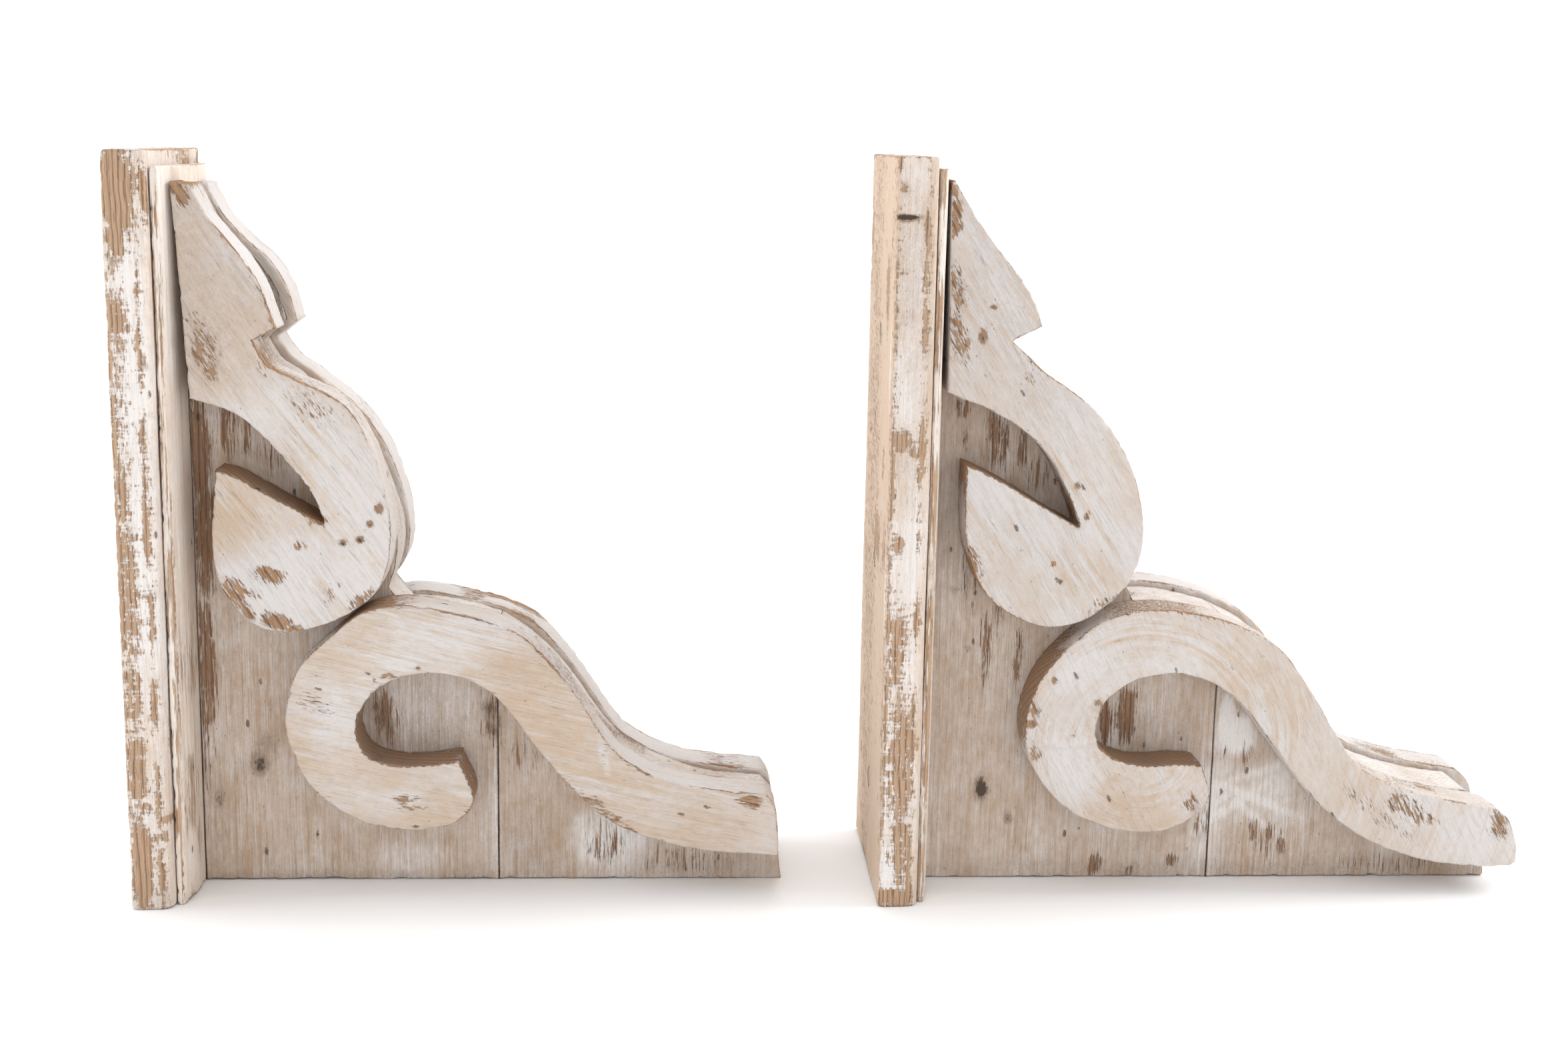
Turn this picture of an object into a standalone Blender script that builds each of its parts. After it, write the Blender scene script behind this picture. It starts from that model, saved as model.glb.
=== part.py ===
"""A pair of whitewashed wooden corbel book ends that stand side by side on a shelf.

Each book end is a back plank with a thin moulding on its front, a web of two edge-joined
boards that stands out from it like a bracket, and a cut-out scroll on each face of the web:
an upper one with a leaf-shaped slot and a lower one that curls round an eye and runs out to
a toe. Countersunk screws hold the planks to the web, headless brads hold the scrolls, and
two dowels lock the joint between the web's boards.

World frame: the books' row runs along X, the toes point to +X, the shelf is z = 0 and the
origin is under the middle of the pair. Lengths below are in millimetres.
Own frame of one book end: x from the plank's back face, y across from the web's middle,
z up from the shelf.
"""

import math
from dataclasses import dataclass

import bmesh
import bpy
from mathutils import Matrix, Vector

MM = 0.001

# Driving dimensions, in millimetres.
PLANK_WIDTH = 90.0
PLANK_THICKNESS = 15.6
PLANK_ROUND = 4.6
MOULDING_WIDTH = 80.0
MOULDING_THICKNESS = 4.9
MOULDING_EDGE = 2.6
MOULDING_SLOPE = 16.0
WEB_THICKNESS = 27.4
SCROLL_THICKNESS = 19.5
PAIR_SPACING = 281.0

JOINT_GAP = 0.3
CHORD = 3.5
ROUND_STEPS = 5

SCREW_SHANK_RADIUS = 2.0
SCREW_HEAD_RADIUS = 4.0
SCREW_HEAD_DEPTH = 2.4
SCREW_LENGTH = 42.0
SCREW_SINK = 0.6
SCREW_TIP = 4.0
SCREW_SIDES = 16
RECESS_WIDTH = 1.0
RECESS_LENGTH = 4.6
RECESS_DEPTH = 1.5

BRAD_RADIUS = 0.8
BRAD_LENGTH = 31.0
BRAD_SINK = 0.5
BRAD_SIDES = 8

DOWEL_RADIUS = 4.0
DOWEL_LENGTH = 48.0
DOWEL_SIDES = 16

# Places derived from the dimensions above.
MOULDING_BACK = PLANK_THICKNESS + JOINT_GAP
MOULDING_FRONT = MOULDING_BACK + MOULDING_THICKNESS
WEB_BACK = MOULDING_FRONT + JOINT_GAP
SCROLL_MIDDLE = WEB_THICKNESS / 2 + JOINT_GAP + SCROLL_THICKNESS / 2
SCROLL_FACE = SCROLL_MIDDLE + SCROLL_THICKNESS / 2

NEAR, FAR = -1, 1


@dataclass(frozen=True)
class Cut:
    """A closed saw cut in the x-z plane.

    Each run is a smooth curve that starts at the end of the run before it, so runs meet at
    corners, and a run of one point is a straight line. The loop closes with a straight line.
    """

    start: tuple
    runs: tuple

    def moved(self, dx, dz):
        """The same cut, shifted along x and z."""
        shift = lambda point: (point[0] + dx, point[1] + dz)
        return Cut(shift(self.start), tuple(tuple(map(shift, run)) for run in self.runs))

    def loop(self):
        """The cut as a list of points about CHORD apart."""
        points = [self.start]
        for run in self.runs:
            points += curve_through([points[-1], *run])[1:]
        return points


@dataclass(frozen=True)
class BookEnd:
    """One hand-cut book end: the heights and cuts that differ between the two."""

    name: str
    plank_height: float
    moulding_height: float
    web: Cut
    web_joint: float
    upper: dict
    lower: dict
    screw_heights: tuple
    dowel_heights: tuple
    upper_brads: tuple
    lower_brads: tuple


LEFT_UPPER_NEAR = Cut(
    (21.4, 270.0),
    (
        ((28.4, 269.7),),
        ((34.7, 257.5), (46.4, 243.3), (53.0, 231.5), (57.5, 217.5)),
        ((49.1, 213.2),),
        (
            (54.0, 204.8), (63.0, 200.0), (80.6, 191.1), (89.8, 177.0), (95.0, 161.5),
            (97.6, 146.0), (96.3, 131.0), (91.0, 119.0), (78.2, 109.7), (62.0, 104.6),
            (48.5, 106.1), (38.5, 114.6), (33.0, 125.0), (31.7, 139.3), (33.5, 165.8),
        ),
        ((41.2, 163.8), (53.8, 156.6), (72.6, 146.2)),
        ((68.0, 157.3), (55.7, 173.2), (41.9, 186.1), (25.3, 191.7)),
    ),
)
LEFT_UPPER_FAR = Cut(
    (21.4, 268.8),
    (
        ((24.4, 268.8),),
        ((29.4, 257.8), (38.0, 248.1), (47.6, 239.3), (53.4, 229.4), (57.0, 216.4)),
        ((49.5, 210.3),),
        (
            (54.0, 203.6), (62.4, 197.3), (77.2, 185.6), (88.9, 170.2), (96.2, 151.5),
            (98.8, 136.5), (96.8, 123.5), (90.0, 113.8), (79.0, 106.3), (63.0, 101.8),
            (49.5, 103.5), (39.0, 111.5), (33.4, 122.5), (32.0, 136.0), (33.5, 161.8),
        ),
        ((41.2, 159.8), (53.8, 152.6), (72.6, 142.2)),
        ((68.0, 153.3), (55.7, 169.2), (41.9, 182.1), (25.3, 187.7)),
    ),
)
LEFT_LOWER_NEAR = Cut(
    (121.5, 54.8),
    (
        (
            (108.0, 53.3), (96.0, 53.4), (87.3, 57.0), (83.4, 65.0), (85.2, 74.5),
            (91.5, 82.8), (102.0, 87.6), (114.5, 88.4), (127.0, 85.0), (139.0, 75.0),
            (159.0, 48.5), (176.0, 32.0), (194.0, 23.2), (214.0, 18.6), (243.8, 16.2),
        ),
        ((242.3, 35.0), (238.3, 41.2)),
        (
            (229.2, 42.2), (212.0, 44.3), (198.9, 47.5), (188.8, 52.2), (178.7, 60.6),
            (163.8, 83.4), (149.0, 100.7), (137.0, 107.6), (122.0, 112.0), (102.0, 115.4),
            (87.0, 112.9), (75.9, 105.0), (62.0, 91.0), (56.8, 75.0), (57.8, 61.0),
            (66.0, 43.6), (81.0, 31.9), (97.0, 27.4), (110.0, 27.2), (120.0, 29.6),
            (125.8, 35.5), (126.8, 41.8), (121.5, 54.8),
        ),
    ),
)
RIGHT_UPPER = Cut(
    (21.1, 275.3),
    (
        ((22.6, 275.3),),
        ((27.8, 267.0), (36.7, 254.0), (48.6, 239.5), (54.3, 230.0), (57.0, 222.0)),
        ((46.3, 216.6),),
        (
            (52.0, 211.8), (60.0, 204.6), (77.5, 192.2), (89.6, 176.6), (95.4, 163.0),
            (98.7, 147.0), (97.8, 133.5), (92.3, 122.1), (84.6, 115.1), (76.5, 109.8),
            (65.0, 107.3), (52.8, 110.3), (42.3, 116.8), (35.2, 126.5), (31.2, 139.0),
            (29.9, 153.0), (29.7, 170.5),
        ),
        ((36.5, 168.0), (46.5, 162.8), (59.0, 155.3), (73.8, 146.8)),
        ((69.4, 158.2), (60.0, 174.7), (44.1, 187.5), (22.2, 197.3)),
    ),
)
RIGHT_LOWER = Cut(
    (126.7, 53.1),
    (
        (
            (116.0, 53.6), (104.0, 53.2), (93.0, 55.6), (86.0, 61.0), (84.6, 69.0),
            (88.0, 78.0), (96.5, 85.4), (108.0, 88.8), (119.5, 88.6), (131.0, 84.3),
            (143.6, 73.5), (162.0, 50.0), (175.0, 35.3), (193.0, 22.6), (214.9, 14.4),
            (235.0, 11.3), (251.0, 11.0),
        ),
        ((254.4, 13.0),),
        ((254.2, 20.0), (250.8, 30.4), (245.0, 35.6)),
        (
            (225.6, 38.8), (210.5, 42.6), (198.6, 46.9), (189.8, 52.2), (181.9, 60.8),
            (167.9, 83.0), (154.3, 99.8), (137.3, 109.1), (124.8, 112.8), (108.0, 115.0),
            (92.7, 113.3), (79.5, 106.8), (65.0, 92.8), (57.6, 77.5), (56.4, 62.5),
            (61.0, 50.0), (72.5, 36.3), (88.0, 27.9), (103.0, 25.3), (114.0, 26.6),
            (125.0, 32.2), (130.4, 40.4), (126.7, 53.1),
        ),
    ),
)
LEFT_WEB = Cut(
    (WEB_BACK, 0.0),
    (
        ((WEB_BACK, 262.0),),
        ((26.0, 262.0),),
        ((33.0, 249.5), (43.5, 238.5), (50.0, 228.0), (53.5, 217.0)),
        ((46.5, 210.5),),
        (
            (51.0, 203.0), (61.0, 195.8), (75.5, 184.0), (87.0, 168.8), (94.0, 151.0),
            (97.3, 137.0), (96.3, 126.0), (93.5, 117.5),
        ),
        ((100.0, 109.4),),
        (
            (112.8, 108.4), (127.7, 105.2), (140.0, 99.6), (150.5, 91.3), (160.0, 80.8),
            (176.3, 58.4), (187.3, 49.4), (200.5, 42.0), (218.0, 36.9), (238.0, 34.8),
        ),
        ((242.5, 30.0),),
        ((245.9, 0.0),),
    ),
)
RIGHT_WEB = Cut(
    (WEB_BACK, 0.0),
    (
        ((WEB_BACK, 266.0),),
        ((25.4, 266.0),),
        ((33.7, 254.0), (45.6, 239.5), (51.3, 230.0), (54.0, 222.0)),
        ((43.5, 216.0),),
        (
            (49.5, 210.4), (58.0, 203.2), (76.5, 190.6), (88.7, 175.2), (94.4, 162.0),
            (97.7, 147.0), (97.0, 134.0), (94.5, 126.0),
        ),
        ((101.0, 113.6),),
        (
            (111.4, 113.9), (124.8, 111.7), (137.0, 108.0), (153.6, 98.8), (167.2, 82.0),
            (181.3, 59.9), (189.4, 51.3), (198.4, 46.0), (210.3, 41.7), (225.5, 38.0),
            (240.2, 36.0),
        ),
        ((246.8, 31.0),),
        ((250.3, 0.0),),
    ),
)

LEFT = BookEnd(
    name="left",
    plank_height=281.3,
    moulding_height=275.5,
    web=LEFT_WEB,
    web_joint=134.5,
    upper={NEAR: LEFT_UPPER_NEAR, FAR: LEFT_UPPER_FAR},
    lower={NEAR: LEFT_LOWER_NEAR, FAR: LEFT_LOWER_NEAR.moved(0.3, -5.0)},
    screw_heights=(38.0, 128.0, 216.0),
    dowel_heights=(22.0, 62.0),
    upper_brads=((36.0, 222.0), (84.0, 142.0)),
    lower_brads=((106.0, 38.0), (142.0, 90.0), (214.0, 30.0)),
)
RIGHT = BookEnd(
    name="right",
    plank_height=283.7,
    moulding_height=279.3,
    web=RIGHT_WEB,
    web_joint=135.8,
    upper={NEAR: RIGHT_UPPER, FAR: RIGHT_UPPER},
    lower={NEAR: RIGHT_LOWER, FAR: RIGHT_LOWER.moved(1.5, 1.0)},
    screw_heights=(38.0, 128.0, 216.0),
    dowel_heights=(22.0, 62.0),
    upper_brads=((36.0, 224.0), (84.0, 142.0)),
    lower_brads=((106.0, 38.0), (142.0, 92.0), (216.0, 27.0)),
)


def clear_scene():
    """Remove every object that the startup file brought."""
    for obj in list(bpy.data.objects):
        bpy.data.objects.remove(obj, do_unlink=True)


def finish(name, colour, roughness, metallic=0.0):
    """A Principled BSDF material."""
    material = bpy.data.materials.new(name)
    material.use_nodes = True
    shader = material.node_tree.nodes["Principled BSDF"]
    shader.inputs["Base Color"].default_value = (*colour, 1.0)
    shader.inputs["Roughness"].default_value = roughness
    shader.inputs["Metallic"].default_value = metallic
    return material


def curve_through(points):
    """Points about CHORD apart along a Catmull-Rom curve; two points give a straight line."""
    if len(points) == 2:
        return list(points)
    knots = [Vector(point) for point in points]
    before = 2 * knots[0] - knots[1]
    after = 2 * knots[-1] - knots[-2]
    knots = [before, *knots, after]
    found = [tuple(points[0])]
    for a, b, c, d in zip(knots, knots[1:], knots[2:], knots[3:]):
        steps = max(1, round((c - b).length / CHORD))
        for i in range(1, steps + 1):
            t = i / steps
            place = 0.5 * (
                2 * b
                + (c - a) * t
                + (2 * a - 5 * b + 4 * c - d) * t**2
                + (3 * b - a - 3 * c + d) * t**3
            )
            found.append(tuple(place))
    return found


def arc(centre, radius, start, end, steps=ROUND_STEPS):
    """Points along an arc from the start angle to the end angle, in degrees."""
    angles = [math.radians(start + (end - start) * i / steps) for i in range(steps + 1)]
    return [(centre[0] + radius * math.cos(a), centre[1] + radius * math.sin(a)) for a in angles]


def kept_side(loop, x, keep_low):
    """The part of a closed loop on one side of a vertical line at x."""
    inside = (lambda point: point[0] <= x) if keep_low else (lambda point: point[0] >= x)
    kept = []
    for first, second in zip(loop, loop[1:] + loop[:1]):
        if inside(first):
            kept.append(first)
        if inside(first) != inside(second):
            share = (x - first[0]) / (second[0] - first[0])
            kept.append((x, first[1] + share * (second[1] - first[1])))
    return kept


def without_repeats(loop):
    """The loop with points that coincide with the one before them left out."""
    return [p for i, p in enumerate(loop) if math.dist(p, loop[i - 1]) > JOINT_GAP / 3]


def slab(name, loop, depth, to_world):
    """A mesh that fills the loop and is depth thick, centred on the loop's plane."""
    bm = bmesh.new()
    loop = without_repeats(loop)
    low = [bm.verts.new(to_world(u, v, -depth / 2) * MM) for u, v in loop]
    high = [bm.verts.new(to_world(u, v, depth / 2) * MM) for u, v in loop]
    bm.faces.new(low)
    bm.faces.new(high)
    for i in range(len(loop)):
        bm.faces.new((low[i - 1], low[i], high[i], high[i - 1]))
    return closed_mesh(name, bm)


def turned(name, profile, sides):
    """A solid turned about the X axis from (x, radius) pairs; a radius of 0 closes an end."""
    bm = bmesh.new()
    add_turned(bm, profile, sides, Vector((0, 0, 0)), Vector((1, 0, 0)))
    return closed_mesh(name, bm)


def add_turned(bm, profile, sides, origin, axis):
    """Add a turned solid to bm: profile is (distance along the axis, radius) pairs."""
    turn = axis.to_track_quat("X", "Z").to_matrix()
    rings = []
    for along, radius in profile:
        if radius == 0:
            rings.append([bm.verts.new((origin + turn @ Vector((along, 0, 0))) * MM)])
            continue
        ring = []
        for i in range(sides):
            angle = math.tau * i / sides
            spot = Vector((along, radius * math.cos(angle), radius * math.sin(angle)))
            ring.append(bm.verts.new((origin + turn @ spot) * MM))
        rings.append(ring)
    for first, second in zip(rings, rings[1:]):
        for i in range(sides):
            near_edge = (first[i - 1], first[i]) if len(first) > 1 else (first[0],)
            far_edge = (second[i], second[i - 1]) if len(second) > 1 else (second[0],)
            bm.faces.new((*near_edge, *far_edge))
    for ring in (rings[0], rings[-1]):
        if len(ring) > 1:
            bm.faces.new(ring)


def closed_mesh(name, bm):
    """Finish a bmesh as a mesh whose faces point outwards."""
    bmesh.ops.recalc_face_normals(bm, faces=bm.faces)
    mesh = bpy.data.meshes.new(name)
    bm.to_mesh(mesh)
    bm.free()
    return mesh


def add_object(name, mesh, parent, material=None, location=(0, 0, 0), rotation=(0, 0, 0)):
    """Link an object for the mesh under the parent; the location is in millimetres."""
    obj = bpy.data.objects.new(name, mesh)
    bpy.context.scene.collection.objects.link(obj)
    obj.parent = parent
    obj.location = Vector(location) * MM
    obj.rotation_euler = rotation
    if material:
        obj.data.materials.append(material)
    return obj


def add_round(name, mesh, parent, material, location, rotation=(0, 0, 0)):
    """Link an object for a turned mesh that others may share, shaded smooth."""
    mesh.shade_smooth()
    mesh.set_sharp_from_angle(angle=math.radians(35))
    if not mesh.materials:
        mesh.materials.append(material)
    return add_object(name, mesh, parent, None, location, rotation)


def cut_away(obj, bm, parent):
    """Subtract the bmesh, whose points are in the parent's frame, from the object."""
    cutter = add_object(f"{obj.name}_drill", closed_mesh(f"{obj.name}_drill", bm), parent)
    cutter.hide_render = True
    cutter.display_type = "WIRE"
    hole = obj.modifiers.new("Holes", "BOOLEAN")
    hole.operation = "DIFFERENCE"
    hole.solver = "EXACT"
    hole.object = cutter


def screw_profile(clearance, start):
    """Half-section of a countersunk screw along its length, grown by the clearance."""
    head = SCREW_HEAD_RADIUS + clearance
    shank = SCREW_SHANK_RADIUS + clearance
    neck = SCREW_SINK + SCREW_HEAD_DEPTH
    tip = SCREW_SINK + SCREW_LENGTH + clearance
    return [(start, head), (SCREW_SINK, head), (neck, shank), (tip - SCREW_TIP, shank), (tip, 0)]


def drill_screws(bm, end):
    """Add the screws' stepped holes, from behind the plank into the web."""
    for height in end.screw_heights:
        origin = Vector((0, 0, height))
        profile = screw_profile(JOINT_GAP, -JOINT_GAP * 5)
        add_turned(bm, profile, SCREW_SIDES, origin, Vector((1, 0, 0)))


def drill_brads(bm, places, side):
    """Add the brads' holes on one side of the web."""
    radius = BRAD_RADIUS + JOINT_GAP
    profile = [(-JOINT_GAP * 5, radius), (BRAD_SINK + BRAD_LENGTH + JOINT_GAP, radius)]
    for x, z in places:
        origin = Vector((x, side * SCROLL_FACE, z))
        add_turned(bm, profile, BRAD_SIDES, origin, Vector((0, -side, 0)))


def drill_dowels(bm, end):
    """Add the dowels' holes across the joint of the web."""
    reach = DOWEL_LENGTH / 2 + JOINT_GAP
    profile = [(-reach, DOWEL_RADIUS + JOINT_GAP), (reach, DOWEL_RADIUS + JOINT_GAP)]
    for height in end.dowel_heights:
        origin = Vector((end.web_joint, 0, height))
        add_turned(bm, profile, DOWEL_SIDES, origin, Vector((1, 0, 0)))


def plank_loop():
    """Plan of the back plank: square at the back, rounded over on both front edges."""
    half = PLANK_WIDTH / 2
    middle = (PLANK_THICKNESS - PLANK_ROUND, half - PLANK_ROUND)
    front = arc(middle, PLANK_ROUND, 90, 0)
    near_front = [(x, -y) for x, y in reversed(front)]
    return [(0, -half), (0, half), *front, *near_front]


def moulding_loop():
    """Plan of the moulding: a flat middle that curves down to a thin edge on each side."""
    half = MOULDING_WIDTH / 2
    edge = MOULDING_BACK + MOULDING_EDGE
    crown = MOULDING_FRONT - edge
    slope = []
    for i in range(ROUND_STEPS + 1):
        t = i / ROUND_STEPS
        slope.append((edge + crown * math.sin(t * math.pi / 2), half - MOULDING_SLOPE * t))
    near_slope = [(x, -y) for x, y in reversed(slope)]
    return [(MOULDING_BACK, -half), (MOULDING_BACK, half), *slope, *near_slope]


def build_back(end, parent, finishes):
    """The plank and its moulding, with holes for the screws."""
    boards = (
        ("back_plank", plank_loop(), end.plank_height, finishes["plank"]),
        ("face_moulding", moulding_loop(), end.moulding_height, finishes["moulding"]),
    )
    for part, loop, height, material in boards:
        mesh = slab(part, loop, height, lambda x, y, z: Vector((x, y, z)))
        mesh.transform(Matrix.Translation((0, 0, height / 2 * MM)))
        board = add_object(f"{end.name}_{part}", mesh, parent, material)
        holes = bmesh.new()
        drill_screws(holes, end)
        cut_away(board, holes, parent)


def build_web(end, parent, finishes):
    """The web's two boards, with holes for screws, dowels and brads."""
    loop = end.web.loop()
    half_gap = JOINT_GAP / 2
    boards = (
        ("web_rear_board", kept_side(loop, end.web_joint - half_gap, True)),
        ("web_front_board", kept_side(loop, end.web_joint + half_gap, False)),
    )
    for part, outline in boards:
        mesh = slab(part, outline, WEB_THICKNESS, lambda x, z, y: Vector((x, y, z)))
        board = add_object(f"{end.name}_{part}", mesh, parent, finishes["web"])
        holes = bmesh.new()
        drill_screws(holes, end)
        drill_dowels(holes, end)
        for side in (NEAR, FAR):
            drill_brads(holes, end.upper_brads + end.lower_brads, side)
        cut_away(board, holes, parent)


def build_scrolls(end, parent, finishes):
    """The four cut-out scrolls, with holes for their brads."""
    for side, side_name in ((NEAR, "near"), (FAR, "far")):
        for part, cut, brads in (
            ("upper_scroll", end.upper[side], end.upper_brads),
            ("lower_scroll", end.lower[side], end.lower_brads),
        ):
            name = f"{end.name}_{part}_{side_name}"
            mesh = slab(name, cut.loop(), SCROLL_THICKNESS, lambda x, z, y: Vector((x, y, z)))
            place = (0, side * SCROLL_MIDDLE, 0)
            scroll = add_object(name, mesh, parent, finishes["scroll"], place)
            holes = bmesh.new()
            drill_brads(holes, brads, side)
            cut_away(scroll, holes, parent)


def cross_recess():
    """The cutter for the cross in a screw's head, centred on the head's face."""
    bm = bmesh.new()
    for turn in (0, math.pi / 2):
        size = Matrix.Diagonal((2 * RECESS_DEPTH * MM, RECESS_WIDTH * MM, RECESS_LENGTH * MM, 1))
        place = Matrix.Translation((SCREW_SINK * MM, 0, 0))
        spin = Matrix.Rotation(turn, 4, "X")
        bmesh.ops.create_cube(bm, size=1, matrix=place @ spin @ size)
    return bm


def build_fasteners(end, parent, meshes, finishes):
    """The screws, dowels and brads, each at its own hole."""
    for i, height in enumerate(end.screw_heights, 1):
        name = f"{end.name}_screw_{i}"
        screw = add_round(name, meshes["screw"], parent, finishes["screw"], (0, 0, height))
        cross = add_object(f"{name}_cross", meshes["cross"], parent, None, (0, 0, height))
        cross.hide_render = True
        cross.display_type = "WIRE"
        recess = screw.modifiers.new("Recess", "BOOLEAN")
        recess.operation = "DIFFERENCE"
        recess.solver = "EXACT"
        recess.use_self = True
        recess.object = cross
    for i, height in enumerate(end.dowel_heights, 1):
        place = (end.web_joint, 0, height)
        name = f"{end.name}_dowel_{i}"
        add_round(name, meshes["dowel"], parent, finishes["dowel"], place)
    for side, side_name in ((NEAR, "near"), (FAR, "far")):
        for part, places in (("upper", end.upper_brads), ("lower", end.lower_brads)):
            for i, (x, z) in enumerate(places, 1):
                place = (x, side * (SCROLL_FACE - BRAD_SINK), z)
                name = f"{end.name}_{part}_brad_{side_name}_{i}"
                turn = (0, 0, -side * math.pi / 2)
                add_round(name, meshes["brad"], parent, finishes["brad"], place, turn)


def build_book_end(end, back_x, meshes, finishes):
    """One whole book end, under an empty at the foot of its plank's back face."""
    base = bpy.data.objects.new(f"{end.name}_book_end", None)
    bpy.context.scene.collection.objects.link(base)
    base.location = Vector((back_x, 0, 0)) * MM
    build_back(end, base, finishes)
    build_web(end, base, finishes)
    build_scrolls(end, base, finishes)
    build_fasteners(end, base, meshes, finishes)


def main():
    clear_scene()
    finishes = {
        "plank": finish("whitewashed_plank", (0.66, 0.58, 0.48), 0.85),
        "moulding": finish("whitewashed_moulding", (0.78, 0.71, 0.61), 0.8),
        "web": finish("whitewashed_web", (0.70, 0.62, 0.51), 0.85),
        "scroll": finish("whitewashed_scroll", (0.80, 0.75, 0.67), 0.8),
        "dowel": finish("beech_dowel", (0.62, 0.42, 0.24), 0.6),
        "screw": finish("zinc_screw", (0.62, 0.60, 0.54), 0.35, 1.0),
        "brad": finish("bright_brad", (0.50, 0.50, 0.50), 0.4, 1.0),
    }
    dowel_end = DOWEL_LENGTH / 2
    meshes = {
        "screw": turned("screw", screw_profile(0, SCREW_SINK)[1:], SCREW_SIDES),
        "cross": closed_mesh("cross", cross_recess()),
        "dowel": turned(
            "dowel", [(-dowel_end, DOWEL_RADIUS), (dowel_end, DOWEL_RADIUS)], DOWEL_SIDES
        ),
        "brad": turned("brad", [(0, BRAD_RADIUS), (BRAD_LENGTH, BRAD_RADIUS)], BRAD_SIDES),
    }
    right_reach = max(x for scroll in RIGHT.lower.values() for x, _ in scroll.loop())
    left_back = -(PAIR_SPACING + right_reach) / 2
    build_book_end(LEFT, left_back, meshes, finishes)
    build_book_end(RIGHT, left_back + PAIR_SPACING, meshes, finishes)


main()
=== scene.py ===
"""Looks for a pair of whitewashed wooden corbel book ends.

Each book end is a back plank with a thin moulding, a web of two boards and four cut-out
scrolls, held by screws, brads and dowels. Every board here is re-cut around its CAD node
with worn edges, grain and dents, and is then painted: thin wash over softwood, thicker
chalk on the sawn edges, flaking along the grain. Lengths are in millimetres until a mesh
is made.
"""

import logging
import math
from dataclasses import dataclass, field
from enum import Enum
from typing import Callable

import bpy
import numpy as np
from mathutils import Euler, Matrix, Vector
from mathutils.geometry import delaunay_2d_cdt


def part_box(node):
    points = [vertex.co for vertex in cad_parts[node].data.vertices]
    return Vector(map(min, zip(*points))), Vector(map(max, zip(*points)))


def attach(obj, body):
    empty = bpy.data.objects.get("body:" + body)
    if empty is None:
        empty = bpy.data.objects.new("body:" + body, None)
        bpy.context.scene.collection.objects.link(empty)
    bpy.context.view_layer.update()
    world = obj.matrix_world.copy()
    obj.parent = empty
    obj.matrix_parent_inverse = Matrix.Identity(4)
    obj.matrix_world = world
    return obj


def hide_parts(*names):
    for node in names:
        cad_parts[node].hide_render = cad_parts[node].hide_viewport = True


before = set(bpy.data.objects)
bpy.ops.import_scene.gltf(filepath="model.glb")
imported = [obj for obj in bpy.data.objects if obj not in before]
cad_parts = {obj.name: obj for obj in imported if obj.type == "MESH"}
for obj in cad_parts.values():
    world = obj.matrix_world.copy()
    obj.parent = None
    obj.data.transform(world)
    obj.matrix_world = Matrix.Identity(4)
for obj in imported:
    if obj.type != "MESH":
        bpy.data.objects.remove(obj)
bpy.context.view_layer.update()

log = logging.getLogger("book_ends")

MM = 0.001

Colour = tuple[float, float, float]
Pair = tuple[float, float]
Points = np.ndarray
Socket = bpy.types.NodeSocket

# Near-black for pits and specks, and for painted shade where the grime and shade mask is heaviest, as in
# the cracks between scroll and web.
PIT_AND_SHADE_COLOUR = (0.085, 0.06, 0.045)
FLAT_WITHIN = 0.05
CORNER_ANGLE = math.radians(36)
RING_DISTANCES = (0.45, 1.0, 1.9)
DEEPEST_CUT = 0.6
DEEPEST_RELIEF = 1.6
WALL_ROW = 1.7
FAR_FROM_EDGE = 9.0
NO_JOINT = -99.0
PLACES_AT_ONCE = 2000


class Lie(Enum):
    """How a board lies: the axes of its outline, then the axis of its thickness."""

    ACROSS_Y = (0, 2, 1)
    ACROSS_X = (1, 2, 0)


class Zone(Enum):
    """A part of a board's surface: the axis and sign of its normal, then its plane's axes.

    A sawn edge has no sign: it is wherever the normal is across that axis.
    """

    NEAR = (1, -1, 0, 2)
    BACK = (0, -1, 1, 2)
    FRONT = (0, 1, 1, 2)
    SAWN = (1, 0, 0, 2)


@dataclass(frozen=True)
class Mark:
    """An oval spot on one zone of a board, in millimetres from the foot of the book end.

    across and up are measured along the zone's two axes, and lean turns the oval. squarely is
    the least that a broad face turns the zone's way, and edgeways the most that a sawn edge does.
    """

    zone: Zone
    across: float
    up: float
    half_width: float
    half_height: float
    strength: float = 1.0
    lean: float = 0.0
    squarely: float = 0.55
    edgeways: float = 0.75

    def cover(self, places: Points, normals: Points) -> Points:
        """How strongly the mark covers each point.

        Args:
            places: Points in the book end's own frame.
            normals: The surface normals there.

        Returns:
            A value for each point, from 0 outside the mark to its strength inside.
        """
        axis, sign, first, second = self.zone.value
        facing = normals[:, axis] * sign > self.squarely
        if sign == 0:
            facing = np.abs(normals[:, axis]) < self.edgeways
        across = places[:, first] - self.across
        up = places[:, second] - self.up
        turn = math.radians(self.lean)
        turned_across = across * math.cos(turn) + up * math.sin(turn)
        turned_up = up * math.cos(turn) - across * math.sin(turn)
        reach = np.hypot(turned_across / self.half_width, turned_up / self.half_height)
        reach += 0.3 * rough(places, (5, 5, 5), 3) + 0.18 * rough(places, (1.6, 1.6, 1.6), 4)
        return np.clip(1.45 - 0.85 * reach, 0, 1) * facing * self.strength


def cell_values(cells: Points, seed: int) -> Points:
    """One repeatable value from -1 to 1 for each whole-number cell.

    Args:
        cells: Rows of three whole numbers.
        seed: Picks another set of values.

    Returns:
        One value for each row.
    """
    mixed = cells @ np.array((73856093, 19349663, 83492791)) + seed * 40503
    mixed = ((mixed ^ (mixed >> 13)) * 1274126177) & 0xFFFFFFFF
    mixed = mixed ^ (mixed >> 16)
    return (mixed & 0xFFFF) / 32767.5 - 1


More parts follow.
